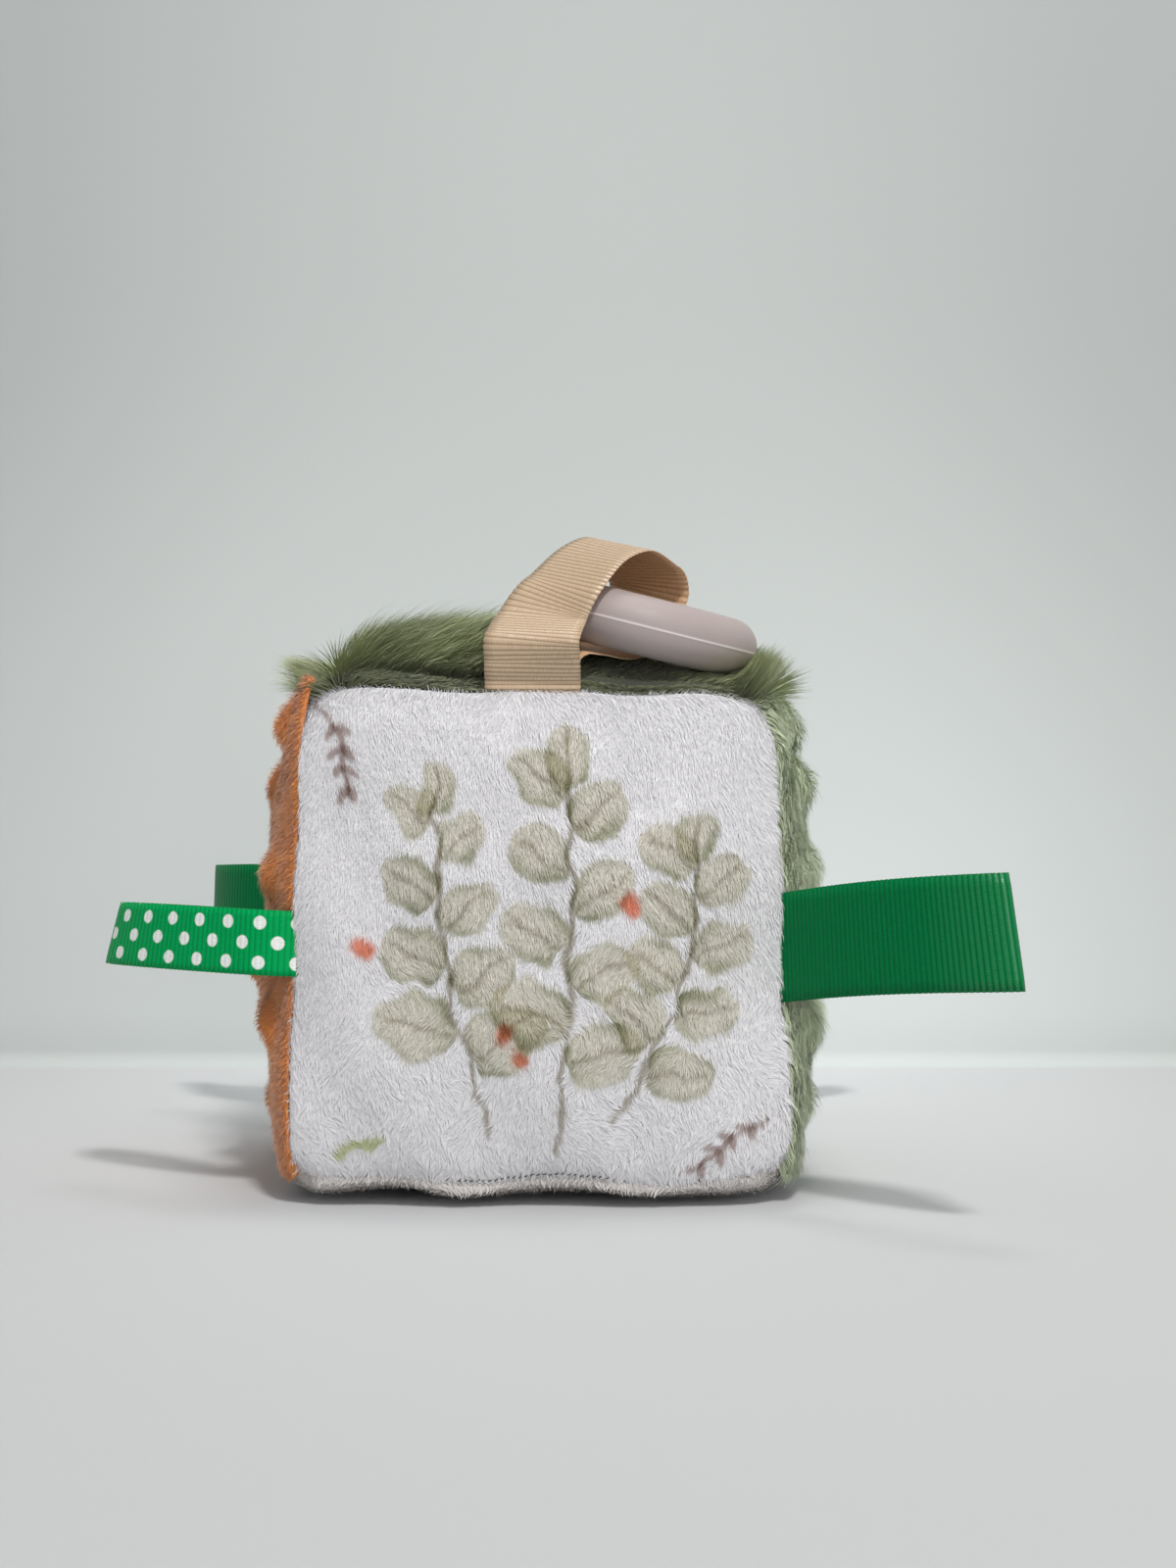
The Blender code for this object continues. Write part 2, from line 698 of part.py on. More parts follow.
def make_ribbons(panels, collection, cutters):
    """Four flat loops in the upright seams, and the beige loop in the top front seam."""
    level = SIDE_LOOP_PLACE / HALF_HEIGHT
    rear = {"length": REAR_LOOP_LENGTH, "rise": REAR_TIP_RISE}
    rear_green = {**rear, "opening": GREEN_LOOP_OPENING}
    rear_dotted = {**rear, "opening": DOTTED_LOOP_OPENING}
    places = {
        "green_ribbon_front": ((1, -1, level), GREEN_WIDTH, GREEN, ("front_panel", "right_panel"), {
            "length": GREEN_LOOP_LENGTH, "opening": GREEN_LOOP_OPENING,
            "rise": GREEN_TIP_RISE, "skew_share": GREEN_TIP_SKEW_SHARE}),
        "dotted_ribbon_front": (
            (-1, -1, level), DOTTED_WIDTH, DOTTED_GREEN, ("front_panel", "left_panel"), {
                "length": DOTTED_LOOP_LENGTH, "opening": DOTTED_LOOP_OPENING,
                "root_turn": -math.radians(DOTTED_ROOT_TURN_DEG),
                "end_turn": -math.radians(DOTTED_END_TURN_DEG),
                "bend": DOTTED_BEND_LENGTH, "skew_share": DOTTED_TIP_SKEW_SHARE}),
        "green_ribbon_rear": (
            (-1, 1, level), GREEN_WIDTH, GREEN, ("back_panel", "left_panel"), rear_green),
        "dotted_ribbon_rear": (
            (1, 1, level), DOTTED_WIDTH, DOTTED_GREEN, ("back_panel", "right_panel"), rear_dotted),
    }
    for name, (share, width, colour, beside, shape) in places.items():
        add_sewn_end(f"{name}_sewn_end", seam_frame(share, 2), width, colour,
                     [panels[panel] for panel in beside], collection, cutters)
        frame = hinge_frame(share, 2)
        rows = flat_loop_rows(frame, width=width, **shape)
        ribbon_strip(f"{name}_loop", rows, collection, colour, frame)
    share = (BEIGE_SEAM_PLACE / HALF_WIDTH, -1, 1)
    add_sewn_end("beige_ribbon_sewn_end", seam_frame(share, 0), BEIGE_WIDTH, BEIGE,
                 [panels["front_panel"], panels["top_panel"]], collection, cutters)
    frame = hinge_frame(share, 0)
    ribbon_strip("beige_ribbon_loop", beige_rows(frame), collection, BEIGE, frame)


def main():
    clear_scene()
    block = make_collection("soft_fabric_block")
    cutters = make_collection("cutters")
    panels = {name: make_panel(name, block) for name in PANELS}
    press_base(panels["base_panel"], cutters)
    make_stuffing(block)
    make_threads(block)
    make_ring(block)
    make_top_pile(block, cutters)
    make_ribbons(panels, block, cutters)


main()
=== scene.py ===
"""The looks of the soft fabric block: plush panels, long fur, grosgrain loops and a silicone ring.

Metres, +Z up. The front panel faces -Y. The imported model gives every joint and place; the block's
own mapping from a unit cube is the one of the model's source.
"""
import json
import math

import bpy
import numpy as np
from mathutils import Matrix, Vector
from mathutils.bvhtree import BVHTree


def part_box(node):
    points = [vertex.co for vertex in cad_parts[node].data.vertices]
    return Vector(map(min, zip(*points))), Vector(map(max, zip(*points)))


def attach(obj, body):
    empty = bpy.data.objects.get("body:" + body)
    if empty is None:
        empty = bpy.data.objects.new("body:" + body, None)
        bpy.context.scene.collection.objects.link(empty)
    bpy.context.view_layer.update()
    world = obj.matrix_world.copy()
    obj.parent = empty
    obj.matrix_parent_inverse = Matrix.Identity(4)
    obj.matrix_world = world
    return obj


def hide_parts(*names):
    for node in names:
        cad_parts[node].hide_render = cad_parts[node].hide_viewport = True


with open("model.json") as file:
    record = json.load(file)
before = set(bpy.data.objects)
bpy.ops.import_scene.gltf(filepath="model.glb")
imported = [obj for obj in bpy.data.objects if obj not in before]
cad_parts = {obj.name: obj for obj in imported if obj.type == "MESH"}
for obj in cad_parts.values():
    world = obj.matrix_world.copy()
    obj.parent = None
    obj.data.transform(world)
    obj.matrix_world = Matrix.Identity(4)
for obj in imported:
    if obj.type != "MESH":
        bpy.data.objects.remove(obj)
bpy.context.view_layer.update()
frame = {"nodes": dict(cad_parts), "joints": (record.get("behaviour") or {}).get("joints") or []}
JOINTS = {joint["name"]: joint for joint in frame["joints"]}

# Camera and stage, fitted to the photograph
CAMERA_PLACE = (0.0115, -0.5845, 0.097)
LENS_MM = 52.76
WALL_BEHIND = 0.205
STAGE_REACH = 3.0
WALL_HEIGHT = 2.5
COVE_RADIUS = 0.006
# Painted light and shade on the stage: from which place, how stretched, between which distances, from how
# bright to how dark
FLOOR_SHADES = (((0, WALL_BEHIND, 0), (1.6, 1.0, 0.0), 0.0, 0.55, 1.2, 0.82),)
WALL_SHADES = (
    ((0, 0, 0), (2.2, 0.0, 1.0), 0.2, 0.6, 1.0, 0.78),
    ((0, 0, 0), (0.0, 0.0, 1.0), 0.02, 0.28, 1.16, 0.86),
    ((0, 0, 0), (0.0, 0.0, 1.0), 0.0, 0.022, 0.91, 1.0),
)

# Lamps: place, width, depth and power
LAMPS = {
    "key": ((0.22, -0.92, 1.22), 0.17, 0.13, 12.9),
    "top": ((0.10, 0.11, 1.20), 0.34, 0.26, 3.6),
    "fill": ((0.62, -1.35, 0.42), 0.8, 0.7, 4.6),
}
LAMP_TARGET = (0, 0, 0.06)
LAMP_COLOUR = (1.0, 0.985, 0.965)
WORLD_STRENGTH = 0.42

# Block: the mapping's own sizes
BLOCK_WIDTH = 0.115
BLOCK_HEIGHT = 0.1172
SEAM_DRAW_IN = 0.0015
CORNER_PULL = 0.0055
SETTLE_SHARE = 0.07
DRAW_IN_POWER = 6
CORNER_POWER = 5
# Each panel's axis, its side of it and its crown
FACINGS = {
    "front_panel": (1, -1, 0.008),
    "back_panel": (1, 1, 0.009),
    "left_panel": (0, -1, 0.011),
    "right_panel": (0, 1, 0.009),
    "top_panel": (2, 1, 0.0095),
    "base_panel": (2, -1, 0.0007),
}
HALF_WIDTH = BLOCK_WIDTH / 2
HALF_HEIGHT = BLOCK_HEIGHT / 2
CENTRE_HEIGHT = 0.0618

# Raised dots, in staggered rows counted in the panel's own cells
CELL_SHARE = 0.12065
DOT_HEIGHT = 0.0036
BASE_DOT_HEIGHT = 0.0030
DOT_RADIUS = 0.0085
DOT_ROWS = {
    "left_panel": ((-6, -3, 0, 3, 6), (7, 5, 2, -1, -3, -6)),
    "right_panel": ((-6, -3, 0, 3, 6), (7, 5, 2, -1, -3, -6)),
    "base_panel": ((-3, 0, 3), (-6, -4, -2, 0, 2, 4, 6)),
}

# Cloth of the panels
EDGE_SHARE = 0.996
ROLL_WIDTH = 0.0016
GROOVE_DEPTH = 0.0007
CLOTH_THICKNESS = 0.0012
CLOTH_CELLS = 110
CLOTH_BOW = 0.92
BACKING_SHADE = 0.9
WANDER = 0.0007
WANDER_LENGTH = 0.030
WAVES = 8
PEAK = (-0.052, -0.052, 0.118)
PEAK_RISE = 0.0018
PEAK_REACH = 0.012
SIDE_PEAK_RISE = 0.0056
SIDE_PEAK_REACH = 0.0135
LOW_SEAM_RISE = 0.0024
BASE_ROLL = 0.0022
BASE_ROLL_SHARE = 0.12
BASE_BULGES = (-0.0176, 0.0231)
BASE_BULGE_GAIN = 0.45
BASE_BULGE_REACH = 0.009
FLOOR_GAP = 0.0002
NORMAL_STEP = 0.004
ROOT_SINK = 0.0002

# Closing stitches
STITCH_PLACES = np.linspace(-0.017, 0.015, 25)
STITCH_HALF = 0.00048
STITCH_RADIUS = 0.00017
STITCH_STAND = 0.0016
STITCH_SINK = 0.0003

# Ribbons: their shape follows the model's source
WIDTHS = {"green": 0.025, "dotted": 0.015, "beige": 0.022}
RIBBON_THICKNESS = 0.0005
LAYER_GAP = 0.0003
LAYER_SHIFT = (LAYER_GAP + RIBBON_THICKNESS) / 2
LOOP_START = 0.0008
FLAT_LOOP_PEAK_SHARE = 0.77
RIB_PITCH = 0.0014
BEIGE_RIB_PITCH = 0.00115
RIB_RELIEF = 0.00013
RIB_STEPS = 6
PICOT = 0.00014
RIBBON_COLUMNS = 10
SEAM_TAIL = 0.0018
DOT_ROW_PITCH = 0.0046
DOT_PITCH = 0.0088
DOT_STAGGER = 0.0044
DOT_PRINT_RADIUS = 0.00155
DOT_BLUR = 0.00015

# Ring
RING_MAJOR = 0.022
RING_TUBE_RADIUS = 0.007
PARTING_LINE = 0.00018


def srgb(red, green, blue):
    """A linear colour from display values of 0 to 255."""
    values = []
    for value in (red, green, blue):
        share = value / 255
        values.append(share / 12.92 if share <= 0.04045 else ((share + 0.055) / 1.055) ** 2.4)
    return tuple(values)


WHITE_PILE = srgb(247, 246, 249)
BASE_PILE = srgb(226, 221, 218)
ORANGE_PILE = srgb(244, 154, 82)
SAGE_PILE = srgb(200, 210, 178)
OLIVE_FUR = srgb(148, 155, 118)
GREEN_RIBBON = srgb(0, 108, 58)
DOTTED_RIBBON = srgb(0, 148, 78)
BEIGE_RIBBON = srgb(180, 156, 129)
DOT_WHITE = srgb(232, 236, 232)
SILICONE = srgb(166, 154, 152)
# Painted highlight along the ring's parting line
PARTING_HIGHLIGHT = srgb(232, 224, 222)
STITCH = srgb(92, 88, 84)
FLOOR_COLOUR = srgb(203, 204, 206)
WALL_COLOUR = srgb(205, 210, 209)
WORLD_COLOUR = srgb(244, 246, 246)
THREAD = (0.62, 0.62, 0.6)
FILLING = (0.86, 0.86, 0.84)
FILLING_SHADE = (0.6, 0.6, 0.58)


# Small tools

def unit(vectors):
    """Vectors scaled to length one, along the last axis."""
    length = np.linalg.norm(vectors, axis=-1, keepdims=True)
    return vectors / np.maximum(length, 1e-12)


def smoothstep(low, high, value):
    share = np.clip((value - low) / (high - low), 0, 1)
    return share * share * (3 - 2 * share)


def waves(points, length, seed):
    """Smooth noise from about -1 to 1: plane waves in many directions."""
    random = np.random.default_rng(seed)
    directions = unit(random.normal(size=(WAVES, points.shape[-1])))
    lengths = length * random.uniform(0.7, 1.5, WAVES)
    phases = random.uniform(0, 2 * math.pi, WAVES)
    turns = points @ (2 * math.pi * directions / lengths[:, None]).T + phases
    return np.cos(turns).sum(-1) / math.sqrt(WAVES)


def hashed(cells, seed):
    """A number from 0 to 1 for each whole-numbered cell."""
    return np.abs(np.sin(cells @ (127.1, 311.7) + seed * 17.31) * 43758.5453) % 1.0


def clump_centres(flat, pitch, seed):
    """The nearest of many scattered centres, for points on a flat sheet."""
    cell = np.floor(flat / pitch)
    nearest = np.full(len(flat), np.inf)
    found = np.zeros_like(flat)
    number = np.zeros(len(flat))
    for across in (-1, 0, 1):
        for along in (-1, 0, 1):
            other = cell + (across, along)
            jitter = np.stack((hashed(other, seed), hashed(other, seed + 1)), axis=-1)
            centre = (other + jitter) * pitch
            distance = np.sum((flat - centre) ** 2, axis=-1)
            closer = distance < nearest
            nearest[closer] = distance[closer]
            found[closer] = centre[closer]
            number[closer] = hashed(other[closer], seed + 2)
    return found, number


def across_from(vectors, directions):
    """Vectors without their part along a direction."""
    return vectors - directions * np.sum(vectors * directions, axis=-1, keepdims=True)


# The ring's centre, and at its bight the ways along the tube, inward and off its plane

RING_LOW, RING_HIGH = (np.array(corner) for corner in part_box("teether_ring"))
RING_CENTRE = (RING_LOW + RING_HIGH) / 2
BIGHT = np.array(JOINTS["ring_swing"]["pos_m"])
TUBE_WAY = unit(np.array(JOINTS["ring_swing"]["axis"]))
INWARD = unit(RING_CENTRE - BIGHT)
OFF_PLANE = unit(np.cross(TUBE_WAY, INWARD))


# Materials

def feed(node, inputs):
    """Give a node's inputs their values, or other nodes' outputs."""
    for name, value in dict(inputs).items():
        if isinstance(value, bpy.types.NodeSocket):
            node.id_data.links.new(value, node.inputs[name])
        else:
            node.inputs[name].default_value = value


def add_node(tree, kind, inputs=(), **settings):
    node = tree.nodes.new("ShaderNode" + kind)
    for name, value in settings.items():
        setattr(node, name, value)
    feed(node, inputs)
    return node


def maths(tree, operation, *values):
    """The result of a sum on values and other nodes' outputs."""
    return add_node(tree, "Math", enumerate(values), operation=operation).outputs[0]


def attribute(tree, name, output):
    return add_node(tree, "Attribute", attribute_name=name).outputs[output]


def object_place(tree):
    return add_node(tree, "TexCoord").outputs["Object"]


def new_material(name, roughness, sheen=0.0, sheen_roughness=0.5, specular=0.5):
    material = bpy.data.materials.new(name)
    material.use_nodes = True
    tree = material.node_tree
    shader = tree.nodes["Principled BSDF"]
    feed(shader, {"Roughness": roughness, "Sheen Weight": sheen, "Sheen Roughness": sheen_roughness,
                  "Specular IOR Level": specular})
    return material, tree, shader


def mixed(tree, factor, first, second, blend="MIX"):
    """The colour output of a mix of two colours."""
    colours = [(*value, 1.0) if isinstance(value, tuple) else value for value in (first, second)]
    inputs = dict(zip((0, 6, 7), (factor, *colours)))
    return add_node(tree, "Mix", inputs, data_type="RGBA", blend_type=blend).outputs[2]


def coat(shader, colour, shade=None):
    """Give a shader its colour, times a grey shade where there is one."""
    tree = shader.id_data
    if shade is not None:
        grey = add_node(tree, "CombineColor", dict.fromkeys(("Red", "Green", "Blue"), shade))
        colour = mixed(tree, 1.0, colour, grey.outputs["Color"], "MULTIPLY")
    feed(shader, {"Base Color": colour})


def toned(colour, share, most=1.0):
    """A colour times a share, or times one share for each channel."""
    return tuple(np.minimum(np.multiply(colour, share), most).tolist())


def noise(tree, scale, detail=3.0, roughness=0.6, vector=None):
    vector = vector or object_place(tree)
    inputs = {"Vector": vector, "Scale": scale, "Detail": detail, "Roughness": roughness}
    return add_node(tree, "TexNoise", inputs).outputs["Fac"]


def ranged(tree, value, low, high, to_low, to_high, **settings):
    inputs = {"Value": value, "From Min": low, "From Max": high, "To Min": to_low, "To Max": to_high}
    return add_node(tree, "MapRange", inputs, **settings).outputs["Result"]


def bump(shader, height, distance):
    relief = add_node(shader.id_data, "Bump", {"Height": height, "Distance": distance})
    feed(shader, {"Normal": relief.outputs["Normal"]})


def pile_material(name, sheen=0.3, roughness=0.75):
    """Fibres: each carries its own colour, and a fine noise breaks it up."""
    material, tree, shader = new_material(name, roughness, sheen, 0.45, 0.3)
    shade = ranged(tree, noise(tree, 900, 2.0), 0.3, 0.7, 0.94, 1.03)
    coat(shader, attribute(tree, "pile", "Color"), shade)
    return material


def backing_material(name):
    """Knitted backing under the pile, in the pile's own colour."""
    material, tree, shader = new_material(name, 0.95, 0.2, 0.6)
    shade = ranged(tree, noise(tree, 1400, 4.0, 0.7), 0.3, 0.7, 0.85, 1.05)
    coat(shader, attribute(tree, "pile", "Color"), shade)
    bump(shader, noise(tree, 1600, 3.0, 0.7), 0.0004)
    return material


def rib_wave(tree, along):
    """0 in the groove between two ribs and 1 on a rib's crest."""
    turn = maths(tree, "MULTIPLY", along, math.pi / RIB_PITCH)
    return maths(tree, "ABSOLUTE", maths(tree, "SINE", turn))


def outer_face(tree, face):
    """1 on a ribbon's outer face and 0 on its inner one."""
    return ranged(tree, face, 0.2, 0.8, 0.0, 1.0)


def dot_mask(tree, along, across, face):
    """Round printed dots in three staggered rows, on the outer face only."""
    shifted = maths(tree, "ADD", across, DOT_ROW_PITCH / 2)
    row = maths(tree, "FLOOR", maths(tree, "DIVIDE", shifted, DOT_ROW_PITCH))
    lag = maths(tree, "MULTIPLY_ADD", row, DOT_STAGGER, along)
    offsets = [
        maths(tree, "SUBTRACT", maths(tree, "FLOORED_MODULO", value, pitch), pitch / 2)
        for value, pitch in ((lag, DOT_PITCH), (shifted, DOT_ROW_PITCH))
    ]
    both = add_node(tree, "CombineXYZ", enumerate(offsets))
    apart = add_node(tree, "VectorMath", {0: both.outputs[0]}, operation="LENGTH").outputs["Value"]
    inside = ranged(tree, apart, DOT_PRINT_RADIUS - DOT_BLUR, DOT_PRINT_RADIUS + DOT_BLUR, 1.0, 0.0)
    return maths(tree, "MULTIPLY", inside, outer_face(tree, face))


def ribbon_material(name, colour, dots=False, gloss=(0.07, 0.6), shine_from=0.022, groove_shade=0.78,
                    inner=(1, 1, 1)):
    """Grosgrain: satin ribs across the ribbon, with painted shade in the grooves and a painted highlight on
    the crests, and glossy on stretched crests.

    The ribbon's own attribute tells how far along and across it a point lies, and on which face.
    """
    material, tree, shader = new_material(name, 0.45)
    place = attribute(tree, "ribbon", "Vector")
    along, across, face = add_node(tree, "SeparateXYZ", {"Vector": place}).outputs
    wave = rib_wave(tree, along)
    near = ranged(tree, attribute(tree, "fold", "Fac"), 0.25 * shine_from, shine_from, 1.0, 0.0)
    shine = maths(tree, "MULTIPLY", near, maths(tree, "POWER", wave, 3.0))
    feed(shader, {"Specular IOR Level": ranged(tree, shine, 0.0, 1.0, *gloss)})
    # The inner face: its colour times the inner share, which paints warm light onto it where that share is
    # above one, with painted shade in its grooves
    lining = toned(colour, inner, 0.9)
    lined = mixed(tree, wave, toned(lining, groove_shade), lining)
    # The outer face: painted shade in the grooves and a painted highlight on the rib crests
    crest = ranged(tree, wave, 0.0, 0.7, 0.0, 1.0)
    base = mixed(tree, crest, toned(colour, groove_shade), toned(colour, 1.18, 0.9))
    base = mixed(tree, outer_face(tree, face), lined, base)
    if dots:
        base = mixed(tree, dot_mask(tree, along, across, face), base, DOT_WHITE)
    threads = add_node(tree, "Mapping", {"Vector": place, "Scale": (400, 6000, 1)})
    fibre = noise(tree, 1.0, 2.0, 0.5, threads.outputs[0])
    coat(shader, base, ranged(tree, fibre, 0.3, 0.7, 0.86, 1.1))
    rough = ranged(tree, fibre, 0.2, 0.8, 0.36, 0.5)
    feed(shader, {"Roughness": maths(tree, "MULTIPLY_ADD", shine, -0.16, rough)})
    bump(shader, fibre, 0.00006)
    return material


def sewn_end_material(name, colour):
    """A ribbon where it is sewn in, with its ribs level with the seam and painted shade in the grooves
    between them.
    """
    material, tree, shader = new_material(name, 0.45, specular=0.15)
    height = add_node(tree, "SeparateXYZ", {"Vector": object_place(tree)}).outputs["Z"]
    # Painted shade in the grooves between the ribs
    coat(shader, mixed(tree, rib_wave(tree, height), toned(colour, 0.6), colour))
    bump(shader, noise(tree, 2500, 2.0), 0.00005)
    return material


def silicone_material(name):
    """Matt silicone, a little cloudy, and paler on its parting line: a painted highlight along the ridge.
    """
    material, tree, shader = new_material(name, 0.5, specular=0.35)
    body = mixed(tree, noise(tree, 60, 3.0), toned(SILICONE, 0.95), toned(SILICONE, 1.05))
    # Painted highlight along the parting line, from the ring's ridge mask
    line = ranged(tree, attribute(tree, "pile", "Fac"), 0.1, 0.8, 0.0, 0.75)
    coat(shader, mixed(tree, line, body, PARTING_HIGHLIGHT))
    feed(shader, {
        "Roughness": ranged(tree, noise(tree, 300, 2.0), 0.3, 0.7, 0.44, 0.56),
        "Subsurface Weight": 0.15,
        "Subsurface Radius": (0.004, 0.003, 0.003),
        "Subsurface Scale": 1.0,
    })
    bump(shader, noise(tree, 2500, 2.0), 0.00002)
    return material


def thread_material(name, colour):
    """Twisted sewing thread, with painted shade in the grooves of its twist."""
    material, tree, shader = new_material(name, 0.6, 0.2)
    inputs = {"Vector": object_place(tree), "Scale": 900.0, "Distortion": 1.0}
    twist = add_node(tree, "TexWave", inputs, bands_direction="DIAGONAL").outputs["Fac"]
    # Painted shade in the grooves of the twist
    coat(shader, mixed(tree, twist, toned(colour, 0.6), colour))
    bump(shader, twist, 0.0001)
    return material


def fibrefill_material(name):
    material, tree, shader = new_material(name, 0.9, 0.3)
    coat(shader, mixed(tree, noise(tree, 300, 6.0, 0.7), FILLING_SHADE, FILLING))
    bump(shader, noise(tree, 220, 6.0, 0.7), 0.001)
    return material


# Objects and meshes

def put(name, data):
    """An object in the scene for a mesh, a lamp or a camera."""
    holder = bpy.data.objects.new(name, data)
    bpy.context.scene.collection.objects.link(holder)
    return holder


def add_piece(name, mesh, material, body):
    piece = put(name, mesh)
    mesh.materials.append(material)
    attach(piece, body)
    return piece


def new_mesh(name, verts, faces):
    mesh = bpy.data.meshes.new(name)
    mesh.from_pydata(verts, [], faces)
    mesh.shade_smooth()
    return mesh


def loft_faces(count, around, closed_path=False):
    """The faces of a surface through closed rings of points."""
    numbers = np.arange(count * around).reshape(count, around)
    ahead = np.roll(numbers, -1, axis=0)
    corners = (numbers, np.roll(numbers, -1, axis=1), np.roll(ahead, -1, axis=1), ahead)
    spans = count if closed_path else count - 1
    faces = np.stack(corners, axis=-1)[:spans].reshape(-1, 4).tolist()
    return faces if closed_path else [*faces, numbers[0][::-1].tolist(), numbers[-1].tolist()]


def lofted(name, rings, closed_path=False):
    """A surface through an array of rings, points and axes."""
    faces = loft_faces(*rings.shape[:2], closed_path)
    return new_mesh(name, rings.reshape(-1, 3).tolist(), faces)


def set_colours(mesh, colours):
    layer = mesh.color_attributes.new("pile", "FLOAT_COLOR", "POINT")
    full = np.ones((len(colours), 4), np.float32)
    full[:, :3] = colours
    layer.data.foreach_set("color", full.ravel())


def blades(name, points, across, width, facing, soft):
    """A mesh of tapering blades: points holds each blade's line, from its root to its tip.

    Their normals turn partly to the way the cloth faces, as in a dense nap.
    """
    count, levels, _ = points.shape
    segments = levels - 1
    share = np.arange(segments) / segments
    half = across[:, None, :] * (0.5 * width[:, None] * (1 - share ** 1.6)[None, :])[..., None]
    size = 2 * segments + 1
    verts = np.empty((count, size, 3))
    verts[:, 0:-1:2] = points[:, :-1] - half
    verts[:, 1:-1:2] = points[:, :-1] + half
    verts[:, -1] = points[:, -1]
    corners = []
    for k in range(segments - 1):
        corners += [2 * k, 2 * k + 1, 2 * k + 3, 2 * k + 2]
    corners += [2 * segments - 2, 2 * segments - 1, 2 * segments]
    loops = (np.arange(count)[:, None] * size + np.array(corners)).ravel()
    starts = (np.arange(count)[:, None] * len(corners) + np.arange(segments) * 4).ravel()
    mesh = bpy.data.meshes.new(name)
    mesh.vertices.add(count * size)
    mesh.vertices.foreach_set("co", verts.astype(np.float32).ravel())
    mesh.loops.add(len(loops))
    mesh.loops.foreach_set("vertex_index", loops.astype(np.int32))
    mesh.polygons.add(len(starts))
    mesh.polygons.foreach_set("loop_start", starts.astype(np.int32))
    mesh.update(calc_edges=True)
    mesh.shade_smooth()
    own = unit(np.cross(across[:, None, :], np.diff(points, axis=1)))
    own = np.concatenate((np.repeat(own, 2, axis=1), own[:, -1:]), axis=1)
    normals = unit(own * (1 - soft) + facing[:, None, :] * soft)
    mesh.normals_split_custom_set_from_vertices(normals.reshape(-1, 3).astype(np.float32))
    level = np.concatenate((np.repeat(share, 2), [1.0]))
    return mesh, level


# The block's mapping

def block_points(share, axis, crown, depth):
    """Points of the block for points of the unit cube, on the face across an axis."""
    u, v = (np.abs(share[:, other]) for other in range(3) if other != axis)
    edge = SEAM_DRAW_IN * (u ** DRAW_IN_POWER * (1 - v * v) + v ** DRAW_IN_POWER * (1 - u * u))
    corner = CORNER_PULL * (u * v) ** CORNER_POWER
    point = share * (1 - (edge + corner) / HALF_WIDTH)[:, None]
    point[:, axis] += np.sign(share[:, axis]) * crown * (1 - u * u) * (1 - v * v) / HALF_WIDTH
    point *= (1 - depth / HALF_WIDTH)[:, None]
    settle = 1 + SETTLE_SHARE * ((1 - point[:, 2]) ** 2 - 1) / 4
    return np.stack((
        point[:, 0] * HALF_WIDTH * settle,
        point[:, 1] * HALF_WIDTH * settle,
        point[:, 2] * HALF_HEIGHT + CENTRE_HEIGHT,
    ), axis=-1)


def dot_rise(name, u, v):
    """How far the raised dots lift a panel's cloth."""
    rise = np.zeros_like(u)
    first, second = DOT_ROWS.get(name, ((), ()))
    height = BASE_DOT_HEIGHT if name == "base_panel" else DOT_HEIGHT
    for a, i in enumerate(first):
        for b, j in enumerate(second):
            if (a + b) % 2 == 0:
                apart = np.hypot(u - i * CELL_SHARE, v - j * CELL_SHARE) * HALF_WIDTH
                rise += height * np.clip(1 - (apart / DOT_RADIUS) ** 2, 0, None) ** 2
    return rise


def wander(points):
    """Small hand-sewn unevenness, the same for every piece that lies at a place."""
    shift = WANDER * np.stack([waves(points, WANDER_LENGTH, seed) for seed in (11, 12, 13)], axis=-1)
    shift[:, 2] += PEAK_RISE * np.exp(-(np.linalg.norm(points - PEAK, axis=-1) / PEAK_REACH) ** 2)
    low = smoothstep(0.013, 0.003, points[:, 2]) * smoothstep(-0.0525, -0.056, points[:, 1])
    shift[:, 2] += LOW_SEAM_RISE * low
    return shift


def panel_places(name, u, v):
    axis, side, crown = FACINGS[name]
    others = [other for other in range(3) if other != axis]
    share = np.empty((len(u), 3))
    share[:, axis] = side
    share[:, others[0]] = u
    share[:, others[1]] = v
    inside = HALF_WIDTH * (1 - np.maximum(np.abs(u), np.abs(v)))
    fall = np.clip(1 - inside / ROLL_WIDTH, 0, 1)
    depth = GROOVE_DEPTH * (1 - np.sqrt(np.clip(1 - fall * fall, 0, 1)))
    points = block_points(share, axis, crown, depth)
    points[:, axis] += side * dot_rise(name, u, v)
    points += wander(points)
    if name == "left_panel":
        apart = np.linalg.norm(points - PEAK, axis=-1)
        points[:, 2] += SIDE_PEAK_RISE * np.exp(-(apart / SIDE_PEAK_REACH) ** 2)
    if name == "base_panel":
        roll = np.sin(math.pi * np.clip((1 + v) / BASE_ROLL_SHARE, 0, 1)) * smoothstep(1.0, 0.85, np.abs(u))
        for place in BASE_BULGES:
            apart = points[:, 0] - place
            roll = roll * (1 + BASE_BULGE_GAIN * np.exp(-(apart / BASE_BULGE_REACH) ** 2))
        points[:, 1] -= BASE_ROLL * roll
        points[:, 2] -= 0.7 * BASE_ROLL * roll
    points[:, 2] = np.maximum(points[:, 2], FLOOR_GAP)
    return points


def panel_surface(name, u, v):
    """Points of a panel's cloth and the directions out of it and across it."""
    points = panel_places(name, u, v)
    low_u, high_u = np.maximum(u - NORMAL_STEP, -1), np.minimum(u + NORMAL_STEP, 1)
    low_v, high_v = np.maximum(v - NORMAL_STEP, -1), np.minimum(v + NORMAL_STEP, 1)
    across = panel_places(name, high_u, v) - panel_places(name, low_u, v)
    up = panel_places(name, u, high_v) - panel_places(name, u, low_v)
    normal = unit(np.cross(across, up))
    axis, side, _ = FACINGS[name]
    flip = np.sign(np.median(normal[:, axis])) * side
    return points, normal * flip


# Printed picture of the front panel: leafy sprigs and berries in soft watercolour

